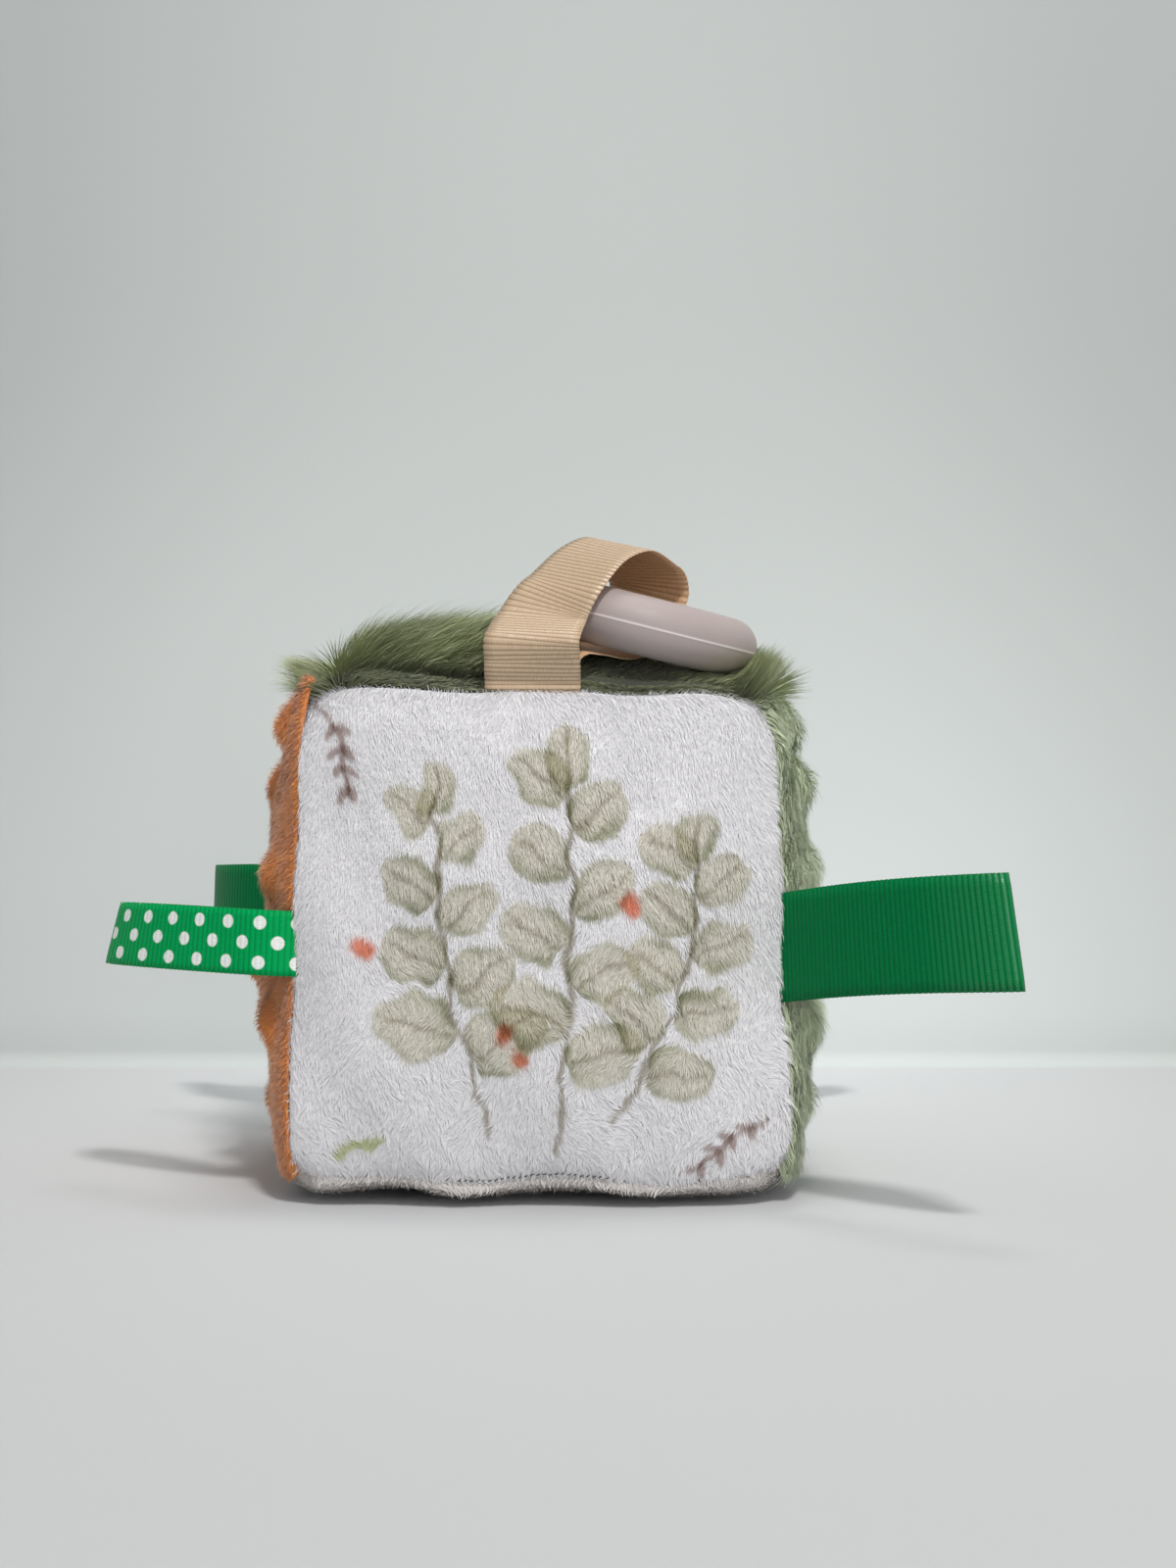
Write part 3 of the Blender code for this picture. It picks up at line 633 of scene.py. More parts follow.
LEAF_PAINT = srgb(213, 215, 200)
LEAF_SHADE = srgb(168, 172, 148)
LEAF_CREAM = srgb(244, 241, 228)
TWIG_PAINT = srgb(168, 140, 130)
STEM_PAINT = srgb(168, 160, 138)
BERRY_PAINT = srgb(244, 152, 122)
LIME_PAINT = srgb(200, 208, 146)
LEAF_BLUR = 0.0007
BLEED = 0.0007
STEM_WIDTH = 0.0010
TWIG_WIDTH = 0.0009
LEAF_PAIRS = 4
# A stem's start, bend and end, and the length of its leaves
SPRIGS = (
    ((-0.010, 0.018), (-0.023, 0.052), (-0.023, 0.090), 0.0185),
    ((0.004, 0.014), (0.009, 0.056), (0.007, 0.097), 0.0195),
    ((0.016, 0.020), (0.037, 0.046), (0.036, 0.080), 0.0165),
)
TWIGS = (
    ((-0.050, 0.116), (-0.043, 0.107), (-0.044, 0.096), 0.0040),
    ((0.053, 0.022), (0.045, 0.018), (0.037, 0.010), 0.0038),
)
BERRIES = (
    (-0.007, 0.041, 0.0027),
    (-0.0035, 0.036, 0.0024),
    (0.021, 0.0705, 0.0028),
    (-0.040, 0.060, 0.0026),
)
LIME_LEAF = ((-0.047, 0.013), (-0.035, 0.0165), 0.0017)


def bezier(curve, share):
    start, bend, end = (np.array(point) for point in curve)
    share = np.asarray(share)[..., None]
    return (1 - share) ** 2 * start + 2 * share * (1 - share) * bend + share ** 2 * end


def leaf_mask(places, base, tip, width, softness):
    """How far each place lies inside a leaf, its share along it and its share across."""
    base, tip = np.array(base), np.array(tip)
    along = tip - base
    length = np.linalg.norm(along)
    along = along / length
    offset = places - base
    share = offset @ along / length
    across = offset @ np.array([-along[1], along[0]])
    belly = width * np.sqrt(np.clip(4 * share * (1 - share), 0, 1)) * (1.12 - 0.34 * share)
    ends = smoothstep(-0.01, 0.02, share) * smoothstep(1.01, 0.98, share)
    return ends * smoothstep(-softness, softness, belly - np.abs(across)), share, across / width


def paint(colours, mask, colour):
    """A wash of watercolour over what is there: it stains and does not cover."""
    stain = np.asarray(colour)
    return colours * (1 - mask[:, None] * (1 - stain))


def print_leaf(colours, places, base, tip, width, seed):
    """A pale leaf, shaded softly at its rim and its foot, with a midrib and side veins."""
    mask, share, across = leaf_mask(places, base, tip, width, LEAF_BLUR)
    cloud = 0.5 + 0.5 * waves(places, 0.011, seed)
    across = np.abs(across)
    edge = across / np.sqrt(np.clip(4 * share * (1 - share), 0.05, 1))
    rim = smoothstep(0.45, 1.05, edge + 0.18 * waves(places, 0.014, seed + 1))
    foot = smoothstep(0.45, 0.0, share)
    length = np.linalg.norm(np.subtract(tip, base))
    vein = smoothstep(0.0009, 0.0002, across * width) * smoothstep(1.0, 0.8, share)
    slope = (share * length - across * width * 1.1) % (length / 6)
    side = smoothstep(0.0007, 0.0, np.abs(slope - length / 12)) * smoothstep(0.95, 0.5, edge)
    for strength, colour in (
            (1, LEAF_CREAM),
            (np.clip(0.15 + 0.8 * rim + 0.4 * foot, 0, 1), LEAF_PAINT),
            (np.clip(rim * 0.75 + foot * 0.5 - 0.25, 0, 1) * cloud, LEAF_SHADE),
            (0.55 * vein + 0.22 * side, STEM_PAINT)):
        colours = paint(colours, mask * strength, colour)
    return colours


def print_line(colours, places, points, width, colour):
    """A brushed line through points."""
    nearest = np.full(len(places), np.inf)
    for start, end in zip(points[:-1], points[1:]):
        along = end - start
        share = np.clip((places - start) @ along / (along @ along), 0, 1)
        apart = np.linalg.norm(places - start - share[:, None] * along, axis=-1)
        nearest = np.minimum(nearest, apart)
    return paint(colours, 0.8 * smoothstep(width, width * 0.25, nearest), colour)


def printed_colours(points):
    """The front cloth's colour at points, from its sprigs, berries and twigs."""
    bleed = np.stack([waves(points, 0.009, seed) for seed in (31, 32)], axis=-1)
    places = points[:, (0, 2)] + BLEED * bleed
    colours = np.tile(np.array(WHITE_PILE), (len(points), 1))
    for number, (*curve, leaf) in enumerate(SPRIGS):
        colours = print_line(colours, places, bezier(curve, np.linspace(0, 1, 14)), STEM_WIDTH, STEM_PAINT)
        for k in range(LEAF_PAIRS):
            for hand in (-1, 1):
                share = 0.28 + 0.64 * k / (LEAF_PAIRS - 1) + 0.05 * hand
                root = bezier(curve, share)
                ahead = unit(bezier(curve, share + 0.02) - root)
                turn = hand * (1.15 - 0.35 * k / LEAF_PAIRS)
                way = ahead * math.cos(turn) + np.array([-ahead[1], ahead[0]]) * math.sin(turn)
                length = leaf * (1.08 - 0.34 * k / LEAF_PAIRS)
                length *= 1.0 + 0.1 * math.sin(7 * k + 3 * hand + number)
                colours = print_leaf(colours, places, root + way * 0.001, root + way * length,
                                     length * 0.40, 40 + number * 20 + k * 2 + hand)
        tip = np.array(curve[-1])
        colours = print_leaf(colours, places, tip, tip + ahead * leaf * 0.72, leaf * 0.27, 90 + number)
    for *curve, leaf in TWIGS:
        colours = print_line(colours, places, bezier(curve, np.linspace(0, 1, 8)), TWIG_WIDTH, TWIG_PAINT)
        for k in range(LEAF_PAIRS):
            root = bezier(curve, 0.25 + 0.7 * k / (LEAF_PAIRS - 1))
            ahead = unit(bezier(curve, 0.97) - root + 1e-6)
            for hand in (-1, 1):
                way = unit(ahead + hand * 0.9 * np.array([-ahead[1], ahead[0]]))
                mask, _, _ = leaf_mask(places, root, root + way * leaf, leaf * 0.26, 0.0004)
                colours = paint(colours, mask * 0.75, TWIG_PAINT)
    for x, z, radius in BERRIES:
        apart = np.hypot(places[:, 0] - x, places[:, 1] - z)
        colours = paint(colours, smoothstep(radius * 1.25, radius * 0.5, apart), BERRY_PAINT)
    mask, _, _ = leaf_mask(places, *LIME_LEAF, 0.0005)
    return paint(colours, mask * 0.85, LIME_PAINT)


# Panels: cloth and pile

def make_cloth(name, colour_of, shade):
    """A panel's knitted backing, as a thin closed sheet that rolls in at its seams."""
    lines = np.sin(np.linspace(-1, 1, CLOTH_CELLS + 1) * math.pi / 2 * CLOTH_BOW)
    lines = lines / lines[-1] * EDGE_SHARE
    u, v = (part.ravel() for part in np.meshgrid(lines, lines, indexing="ij"))
    outer, normal = panel_surface(name, u, v)
    inner = outer - normal * CLOTH_THICKNESS
    total = len(outer)
    numbers = np.arange(total).reshape(len(lines), -1)
    quads = np.stack((numbers[:-1, :-1], numbers[1:, :-1], numbers[1:, 1:], numbers[:-1, 1:]), axis=-1)
    faces = quads.reshape(-1, 4)
    rim = np.concatenate((numbers[:, 0], numbers[-1, 1:], numbers[-2::-1, -1], numbers[0, -2:0:-1]))
    after = np.roll(rim, -1)
    walls = np.stack((rim + total, after + total, after, rim), axis=-1)
    first, second, third = outer[faces[0, :3]]
    faces = np.concatenate((faces, faces[:, ::-1] + total, walls))
    if np.cross(second - first, third - first) @ normal[faces[0, 0]] < 0:
        faces = faces[:, ::-1]
    mesh = new_mesh(name, np.concatenate((outer, inner)).tolist(), faces.tolist())
    set_colours(mesh, np.tile(colour_of(outer) * shade * BACKING_SHADE, (2, 1)))
    cloth = add_piece(f"{name}_cloth", mesh, backing_material(f"{name}_cloth"), "block")
    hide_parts(name)


def grow_pile(name, panel, strands, length, width, seed, span, growth, colour_of, segments=2, bow=1.0,
              spread=0.22, length_of=lambda points, u, v: 1, turn_of=lambda u, v: 1,
              lean_of=lambda u, v: 1, shape=lambda points, roots, normal: points, trims=()):
    """Strands of pile on a panel, combed one way, turned by a soft noise and drawn into clumps."""
    comb, turn, turn_length, clump, gather, shades, lean, roll, tone_spread, soft, edge_flare, hue = growth
    random = np.random.default_rng(seed)
    rows = int(round(math.sqrt(strands)))
    grid = (np.arange(rows) + 0.5) / rows
    u, v = (part.ravel() for part in np.meshgrid(grid, grid, indexing="ij"))
    u = u + random.uniform(-0.5, 0.5, len(u)) / rows
    v = v + random.uniform(-0.5, 0.5, len(v)) / rows
    u = EDGE_SHARE * (-1 + 2 * u)
    v = EDGE_SHARE * (span[0] + (span[1] - span[0]) * v)
    roots, normal = panel_surface(panel, u, v)
    others = [other for other in range(3) if other != FACINGS[panel][0]]
    fall = smoothstep(0.80, 1.0, np.maximum(np.abs(u), np.abs(v)))
    way = comb(u, v) if callable(comb) else np.array(comb, float)
    way = way + edge_flare * fall[:, None] * unit(roots - (0, 0, CENTRE_HEIGHT))
    turn = turn * turn_of(u, v)
    angle = turn * waves(roots, turn_length, seed + 1)
    angle = angle + turn * 0.6 * waves(roots, turn_length / 3, seed + 2)
    flat_places = roots[:, others]
    centres, number = clump_centres(flat_places, clump, seed)
    angle = angle + turn * 0.8 * (number - 0.5)
    way = unit(across_from(way, normal))
    side = np.cross(normal, way)
    way = way * np.cos(angle)[:, None] + side * np.sin(angle)[:, None]
    size = length * (1 + spread * random.normal(size=len(roots))).clip(0.4, 1.5)
    size = size * (1 + 1.4 * spread * (number - 0.5)) * length_of(roots, u, v)
    points = [roots - normal * ROOT_SINK]
    steps = np.radians(lean[0] + (lean[1] - lean[0]) * np.linspace(0, 1, segments) ** bow)
    for angle_out in steps:
        angle_out = (angle_out + 0.1 * random.normal(size=len(roots))) * lean_of(u, v)
        step = normal * np.cos(angle_out)[:, None] + way * np.sin(angle_out)[:, None]
        points.append(points[-1] + step * (size / segments)[:, None])
    drift = np.zeros_like(roots)
    drift[:, others] = centres - flat_places
    pull = gather * (np.arange(segments + 1) / segments) ** 1.5
    points = np.stack(points, axis=1) + across_from(drift, normal)[:, None, :] * pull[None, :, None]
    points = shape(points, roots, normal)
    points[..., 2] = np.maximum(points[..., 2], FLOOR_GAP)
    points = trimmed(points, trims)
    across = unit(np.cross(way, normal) + roll * random.normal(size=roots.shape))
    thick = width * random.uniform(0.7, 1.3, len(roots))
    mesh, level = blades(name, points, across, thick, normal, soft)
    tone = 1 + 0.45 * tone_spread * random.normal(size=len(roots)) + tone_spread * (number - 0.5)
    # Painted shade along each strand: darker at the root for the shade deep in the pile, and lighter at the
    # tip, as painted light, where the tip share is above one
    shade = shades[0] + (shades[1] - shades[0]) * level ** 0.7
    colours = colour_of(roots)[:, None, :] * (tone[:, None] * shade[None, :])[..., None]
    for channel in (0, 2):
        colours[..., channel] *= (1 + hue * random.normal(size=len(roots)))[:, None].clip(0.7, 1.3)
    set_colours(mesh, colours.reshape(-1, 3).clip(0.002, 0.95))
    return mesh


def trimmed(points, trims):
    """Strands shortened where they would run through a ribbon or the ring."""
    for tree, low, high in trims:
        near = np.all((points[:, 0] > low - 0.016) & (points[:, 0] < high + 0.016), axis=-1)
        for index in np.flatnonzero(near):
            start = Vector(points[index, 0])
            line = Vector(points[index, -1]) - start
            hit = tree.ray_cast(start, line.normalized(), line.length + 0.0004)
            if hit[0] is not None:
                keep = max(0.1, (hit[3] - 0.0005) / line.length)
                points[index] = points[index, 0] + (points[index] - points[index, 0]) * keep
    return points


# Ribbons

def spaced(lines, measured, steps):
    """Lines of points spaced evenly, by the way along their measured columns."""
    ahead = np.linalg.norm(np.diff(lines[:, measured], axis=0), axis=-1)
    along = np.concatenate(([0], np.cumsum(ahead)))
    wanted = np.linspace(0, along[-1], steps)
    return np.stack([np.interp(wanted, along, column) for column in lines.T], -1), wanted


def make_ribbon(stem, edges, material, body, pitch=RIB_PITCH):
    """A grosgrain strip from its two edge lines: ribs across it on both faces and a looped edge."""
    low, high = edges
    lines, _ = spaced(np.concatenate((low, high, (low + high) / 2), axis=1), slice(0, 9), 2000)
    length = np.linalg.norm(np.diff(lines[:, 6:], axis=0), axis=-1).sum()
    ribs = int(round(length / pitch))
    lines, wanted = spaced(lines, slice(6, 9), ribs * RIB_STEPS + 1)
    low, high, middle = np.split(lines, 3, axis=1)
    across = unit(high - low)
    out = unit(np.cross(unit(np.gradient(middle, axis=0)), across))
    place = wanted / wanted[-1] * ribs * RIB_PITCH
    crest = np.abs(np.sin(math.pi * place / RIB_PITCH)) ** 0.7
    half = np.linalg.norm(high - low, axis=-1) / 2 + PICOT * (crest - 0.6)
    columns = np.linspace(-1, 1, RIBBON_COLUMNS)
    height = RIBBON_THICKNESS / 2 - RIB_RELIEF * (1 - crest)
    edge_drop = np.where(np.abs(columns) > 0.99, 0.55, 1.0)
    rows = []
    tags = []
    for face in (1, -1):
        aside = half[:, None] * columns[::face]
        lift = face * height[:, None] * edge_drop
        shift = across[:, None, :] * aside[..., None] + out[:, None, :] * lift[..., None]
        rows.append(middle[:, None, :] + shift)
        tags.append(np.stack(np.broadcast_arrays(place[:, None], aside, (1 - face) / 2), -1))
    mesh = lofted(f"{stem}_loop_strip", np.concatenate(rows, axis=1))
    layer = mesh.attributes.new("ribbon", "FLOAT_VECTOR", "POINT")
    layer.data.foreach_set("vector", np.concatenate(tags, axis=1).astype(np.float32).ravel())
    fold = np.abs(wanted - wanted[-1] / 2)
    layer = mesh.attributes.new("fold", "FLOAT", "POINT")
    layer.data.foreach_set("value", np.repeat(fold, 2 * RIBBON_COLUMNS).astype(np.float32))
    strip = add_piece(f"{stem}_loop_strip", mesh, material, body)
    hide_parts(f"{stem}_loop")
    return strip


def with_tails(line, tail):
    """A loop's edge line, lengthened at both ends into the seam."""
    return np.concatenate((line[:1] + tail, line, line[-1:] + tail))


def flat_loop_edges(joint, width, length, opening, root_turn=0.0, end_turn=0.0, bend=0.0, rise=0.0,
                    skew=0.0, drop=0.0, arch=0.0):
    """The two edge lines of a folded ribbon: two layers that part and meet at the fold."""
    origin = np.array(joint["pos_m"])
    along = unit(np.array(joint["axis"]))
    out = unit(across_from(origin * (1, 1, 0), along))
    aside = np.cross(along, out)
    swell = (opening + RIBBON_THICKNESS) / 2 / FLAT_LOOP_PEAK_SHARE
    first = math.sqrt(2 * LAYER_SHIFT / swell)
    turn = np.linspace(first, 2 * math.pi - first, 600)
    part = ((1 - np.cos(turn)) - (1 - math.cos(first))) / (1 + math.cos(first))
    reach = LOOP_START + part * (length - LOOP_START)
    swing = swell * np.sin(turn) * np.sin(turn / 2)
    tail = -SEAM_TAIL * (out * math.cos(root_turn) + aside * math.sin(root_turn))
    edges = []
    for side in (-1, 1):
        reached = reach * (1 - skew * side * width / length * part)
        heading, x, y = np.zeros_like(reached), reached, 0.0
        if bend:
            radius = bend / (end_turn - root_turn)
            heading = root_turn + np.minimum(reached, bend) / radius
            past = np.maximum(reached - bend, 0)
            x = radius * (np.sin(heading) - math.sin(root_turn)) + past * np.cos(heading)
            y = radius * (math.cos(root_turn) - np.cos(heading)) + past * np.sin(heading)
        x = x - swing * np.sin(heading)
        y = y + swing * np.cos(heading)
        z = side * width / 2 + rise * part * part + 4 * arch * part * (1 - part) - drop
        edges.append(with_tails(origin + x[:, None] * out + y[:, None] * aside + z[:, None] * along, tail))
    return edges


# The four flat loops, and the beige one's way past the ring: shares of the tube's radius along the
# tube, inward and off the ring's plane from the bight, and how far the ribbon has turned

LOOPS = {
    ("green", "front"): dict(length=0.064, opening=0.009, rise=0.0032, arch=0.0016, drop=0.0008, skew=0.06),
    ("dotted", "front"): dict(length=0.058, opening=0.008, root_turn=-math.radians(45),
                              end_turn=-math.radians(83), bend=0.012, skew=0.16),
    ("green", "rear"): dict(length=0.060, opening=0.009, rise=-0.0028),
    ("dotted", "rear"): dict(length=0.060, opening=0.008, rise=-0.0028, drop=0.003),
}
BEIGE_PATH = (
    (0.50, -1.69, -0.39, 0.45),
    (0.40, -1.04, 0.71, 0.75),
    (0.26, 0.00, 1.93, 0.93),
    (0.27, 1.16, 2.51, 1.0),
    (0.03, 2.32, 2.30, 0.86),
    (-0.10, 2.95, 1.84, 0.74),
    (-0.15, 3.20, 1.22, 0.70),
    (-0.10, 3.16, 0.14, 0.74),
    (0.10, 2.75, -0.62, 1.0),
    (0.20, 1.54, -1.16, 1.0),
    (0.20, 0.24, -1.28, 0.9),
    (0.31, -0.94, -1.48, 0.55),
)
BEIGE_FRONT_RISE = 0.0098
BEIGE_BULGE = 0.0050
BEIGE_REAR_RISE = 0.00525
BEIGE_LOW_TWIST = 0.2
BEIGE_TILT = 0.28
BEIGE_LOOP_START = 0.0014


def smoothed(points, steps):
    """A smooth curve through points."""
    padded = np.concatenate(([2 * points[0] - points[1]], points, [2 * points[-1] - points[-2]]))
    result = []
    for a, b, c, d in zip(padded, padded[1:], padded[2:], padded[3:]):
        for t in np.arange(steps) / steps:
            result.append(0.5 * (2 * b + (c - a) * t + (2 * a - 5 * b + 4 * c - d) * t ** 2
                                 + (3 * b - a - 3 * c + d) * t ** 3))
    result.append(points[-1])
    return np.array(result)


def beige_edges():
    """The two edge lines of the beige loop: up from the seam, over the ring's tube and back."""
    joint = JOINTS["beige_loop_flop"]
    seam = unit(np.array(joint["axis"]))
    up = np.array([0.0, 0.0, 1.0])
    aside = np.array([0.0, -1.0, 0.0])
    line = -TUBE_WAY if TUBE_WAY @ seam < 0 else TUBE_WAY
    start = np.array(joint["pos_m"]) + up * BEIGE_LOOP_START
    front = start + aside * LAYER_SHIFT
    rear = start - aside * LAYER_SHIFT
    places = [
        (*front, 0.0, 0.0),
        (*(front + aside * BEIGE_BULGE * 0.6 + up * BEIGE_FRONT_RISE * 0.4), BEIGE_LOW_TWIST * 0.3, 0.0),
        (*(front + aside * BEIGE_BULGE + up * BEIGE_FRONT_RISE), BEIGE_LOW_TWIST, 0.0),
    ]
    for along, inside, above, twist in BEIGE_PATH:
        tilt = BEIGE_TILT * math.exp(-((inside - 2.6) / 0.8) ** 2) if above > 1 else 0.0
        place = BIGHT + RING_TUBE_RADIUS * (along * TUBE_WAY + inside * INWARD + above * OFF_PLANE)
        places.append((*(place - up * tilt * WIDTHS["beige"] / 2), twist, tilt))
    places += [(*(rear + up * BEIGE_REAR_RISE), BEIGE_LOW_TWIST, 0.0), (*rear, 0.0, 0.0)]
    path = smoothed(np.array(places), 40)
    middle = path[:, :3]
    twist = np.clip(path[:, 3:4], 0, 1)
    across = seam * (1 - twist) + line * twist - up * path[:, 4:] * np.sign(line[1])
    across = unit(across_from(across, unit(np.gradient(middle, axis=0))))
    return [with_tails(middle + across * side * WIDTHS["beige"] / 2, -up * SEAM_TAIL) for side in (-1, 1)]


def make_ribbons():
    """The five loops, in the order of LOOPS and then the beige one."""
    materials = {
        "green": ribbon_material("green_grosgrain", GREEN_RIBBON),
        "dotted": ribbon_material("dotted_grosgrain", DOTTED_RIBBON, dots=True, gloss=(0.06, 0.25)),
    }
    strips = []
    for (kind, end), shape in LOOPS.items():
        edges = flat_loop_edges(JOINTS[f"{kind}_{end}_flick"], WIDTHS[kind], **shape)
        stem, body = f"{kind}_ribbon_{end}", f"{kind}_loop_{end}"
        strips.append(make_ribbon(stem, edges, materials[kind], body))
    # The beige loop: painted warm light on its inner face, and deeper painted shade in its grooves
    beige = ribbon_material("beige_grosgrain", BEIGE_RIBBON, gloss=(0.15, 1.0), shine_from=0.2, groove_shade=0.66,
                            inner=(1.5, 1.28, 1.1))
    edges = beige_edges()
    return strips + [make_ribbon("beige_ribbon", edges, beige, "beige_loop", BEIGE_RIB_PITCH)]


# The making

def make_camera():
    camera = bpy.data.cameras.new("camera")
    camera.lens = LENS_MM
    camera.sensor_width = 36.0
    camera.clip_start = 0.01
    holder = put("camera", camera)
    holder.location = CAMERA_PLACE
    holder.rotation_euler = (math.radians(90), 0, 0)
    bpy.context.scene.camera = holder


def fall_off(tree, place, stretch, low, high, brightest, darkest):
    """Painted light and shade: brightest near a place on the stage, and darker away from it."""
    moved = add_node(tree, "VectorMath", {0: object_place(tree), 1: place}, operation="SUBTRACT")
    stretched = add_node(tree, "Mapping", {"Vector": moved.outputs[0], "Scale": stretch})
    apart = add_node(tree, "VectorMath", {0: stretched.outputs[0]}, operation="LENGTH")
    apart = apart.outputs["Value"]
    return ranged(tree, apart, low, high, brightest, darkest, interpolation_type="SMOOTHSTEP")


def make_stage():
    """A pale floor that turns up into a pale wall; the wall shows from its front only."""
    floor_lines = [(-STAGE_REACH, 0.0), (WALL_BEHIND - COVE_RADIUS, 0.0), (STAGE_REACH, 0.0)]
    wall_lines = [
        (WALL_BEHIND - COVE_RADIUS + COVE_RADIUS * math.sin(angle), COVE_RADIUS * (1 - math.cos(angle)))
        for angle in np.linspace(0, math.pi / 2, 9)
    ] + [(WALL_BEHIND, WALL_HEIGHT)]
    for name, profile, colour, shades in (
            ("floor", floor_lines, FLOOR_COLOUR, FLOOR_SHADES),
            ("wall", wall_lines, WALL_COLOUR, WALL_SHADES)):
        verts = [(x, y, z) for y, z in profile for x in (-STAGE_REACH, STAGE_REACH)]
        faces = [(2 * k, 2 * k + 1, 2 * k + 3, 2 * k + 2) for k in range(len(profile) - 1)]
        sheet = put(name, new_mesh(name, verts, faces))
        material, tree, shader = new_material(name, 0.8, specular=0.2)
        # Painted light and shade: the floor lighter towards the wall and darker away from it, the wall
        # darker towards its top and corners and at its foot
        shade = 1.0
        for fall in shades:
            shade = maths(tree, "MULTIPLY", shade, fall_off(tree, *fall))
        coat(shader, colour, shade)
        if name == "wall":
            geometry = add_node(tree, "NewGeometry")
            clear = add_node(tree, "BsdfTransparent")
            choose = add_node(tree, "MixShader", {
                0: geometry.outputs["Backfacing"], 1: shader.outputs[0], 2: clear.outputs[0]})
            feed(tree.nodes["Material Output"], {"Surface": choose.outputs[0]})
        sheet.data.materials.append(material)


def make_lights():
    """Soft white surroundings, a lamp above the camera, one overhead and a broad weak one in front."""
    world = bpy.data.worlds.new("world")
    world.use_nodes = True
    feed(world.node_tree.nodes["Background"], {"Color": (*WORLD_COLOUR, 1.0), "Strength": WORLD_STRENGTH})
    bpy.context.scene.world = world
    for name, (place, width, depth, power) in LAMPS.items():
        lamp = bpy.data.lights.new(name, "AREA")
        lamp.shape = "RECTANGLE"
        lamp.size = width
        lamp.size_y = depth
        lamp.energy = power
        lamp.color = LAMP_COLOUR
        holder = put(name, lamp)
        holder.location = place
        holder.rotation_mode = "QUATERNION"
        holder.rotation_quaternion = (Vector(LAMP_TARGET) - holder.location).to_track_quat("-Z", "Y")


def make_ring():
    """A silicone ring with the fine parting line of its mould round its middle."""
    around = np.linspace(0, 2 * math.pi, 161)[:-1]
    section = np.linspace(0, 2 * math.pi, 181)[:-1]
    radial = np.cos(around)[:, None] * TUBE_WAY + np.sin(around)[:, None] * INWARD
    ridge = PARTING_LINE * np.exp(-(np.abs((section + math.pi) % (2 * math.pi) - math.pi) / 0.03) ** 2)
    radius = RING_TUBE_RADIUS + ridge
    outward = (RING_MAJOR + radius * np.cos(section))[None, :, None] * radial[:, None, :]
    rings = RING_CENTRE + outward + (radius * np.sin(section))[None, :, None] * OFF_PLANE
    mesh = lofted("teether_ring_body", rings[:, ::-1], closed_path=True)
    # The parting line's ridge mask, which the silicone paints as a highlight
    set_colours(mesh, np.tile((ridge / PARTING_LINE)[::-1, None], (len(around), 3)))
    ring = add_piece("teether_ring_body", mesh, silicone_material("silicone"), "ring")
    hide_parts("teether_ring")
    return ring


def make_stitches():
    """Small hand stitches that close the bottom front seam."""
    random = np.random.default_rng(171)
    places = STITCH_PLACES / HALF_WIDTH
    seam = panel_places("front_panel", places, np.full_like(places, -EDGE_SHARE))
    angles = np.arange(8)[:, None] * math.pi / 4
    share = np.array((-1, -0.5, 0.5, 1))[:, None, None]
    size = np.array((0.35, 1, 1, 0.35))[:, None, None]
    verts = []
    faces = []
    for place, along in zip(seam, unit(np.gradient(seam, axis=0))):
        along = unit(along + np.array([0, 0, 0.45 + 0.25 * random.normal()]))
        out = unit(np.cross(along, (0, 0, 1)))
        up = np.cross(out, along)
        half = STITCH_HALF * random.uniform(0.8, 1.2)
        middle = place + out * STITCH_STAND * np.sign(-out[1]) + np.array([0, 0, 0.0001 * random.normal()])
        middle = middle + out * np.sign(out[1]) * STITCH_SINK * share * share + along * half * share
        around = out * np.cos(angles) + up * np.sin(angles)
        faces += [[corner + len(verts) for corner in face] for face in loft_faces(4, 8)]
        verts += (middle + STITCH_RADIUS * size * around).reshape(-1, 3).tolist()
    mesh = new_mesh("closing_stitches", verts, faces)
    add_piece("closing_stitches", mesh, thread_material("closing_thread", STITCH), "block")


def plain(colour, patch):
    """A colour with soft cloudy patches."""
    return lambda points: np.array(colour)[None, :] * (1 + patch * waves(points, 0.012, 70))[:, None]


def tree_of(piece):
    """A search tree of a piece's own faces, and the corners of its box."""
    verts = [vert.co.copy() for vert in piece.data.vertices]
    tree = BVHTree.FromPolygons(verts, [list(face.vertices) for face in piece.data.polygons])
    return tree, np.min(verts, axis=0), np.max(verts, axis=0)


def edge_length(points, u, v):
    """The front pile is a little longer at its seams, and lies over them."""
    return 1 + 0.35 * smoothstep(0.93, 1.0, np.maximum(np.abs(u), np.abs(v)))


def crevice_of(u):
    """How far back the pressed front band of the top fur reaches, in the panel's own share."""
    return -0.77 - 0.11 * smoothstep(-0.9, -0.1, u)


def from_ring(points):
    """How far points lie from the ring's centre, seen from above."""
    return np.hypot(points[:, 0] - RING_CENTRE[0], points[:, 1] - RING_CENTRE[1])


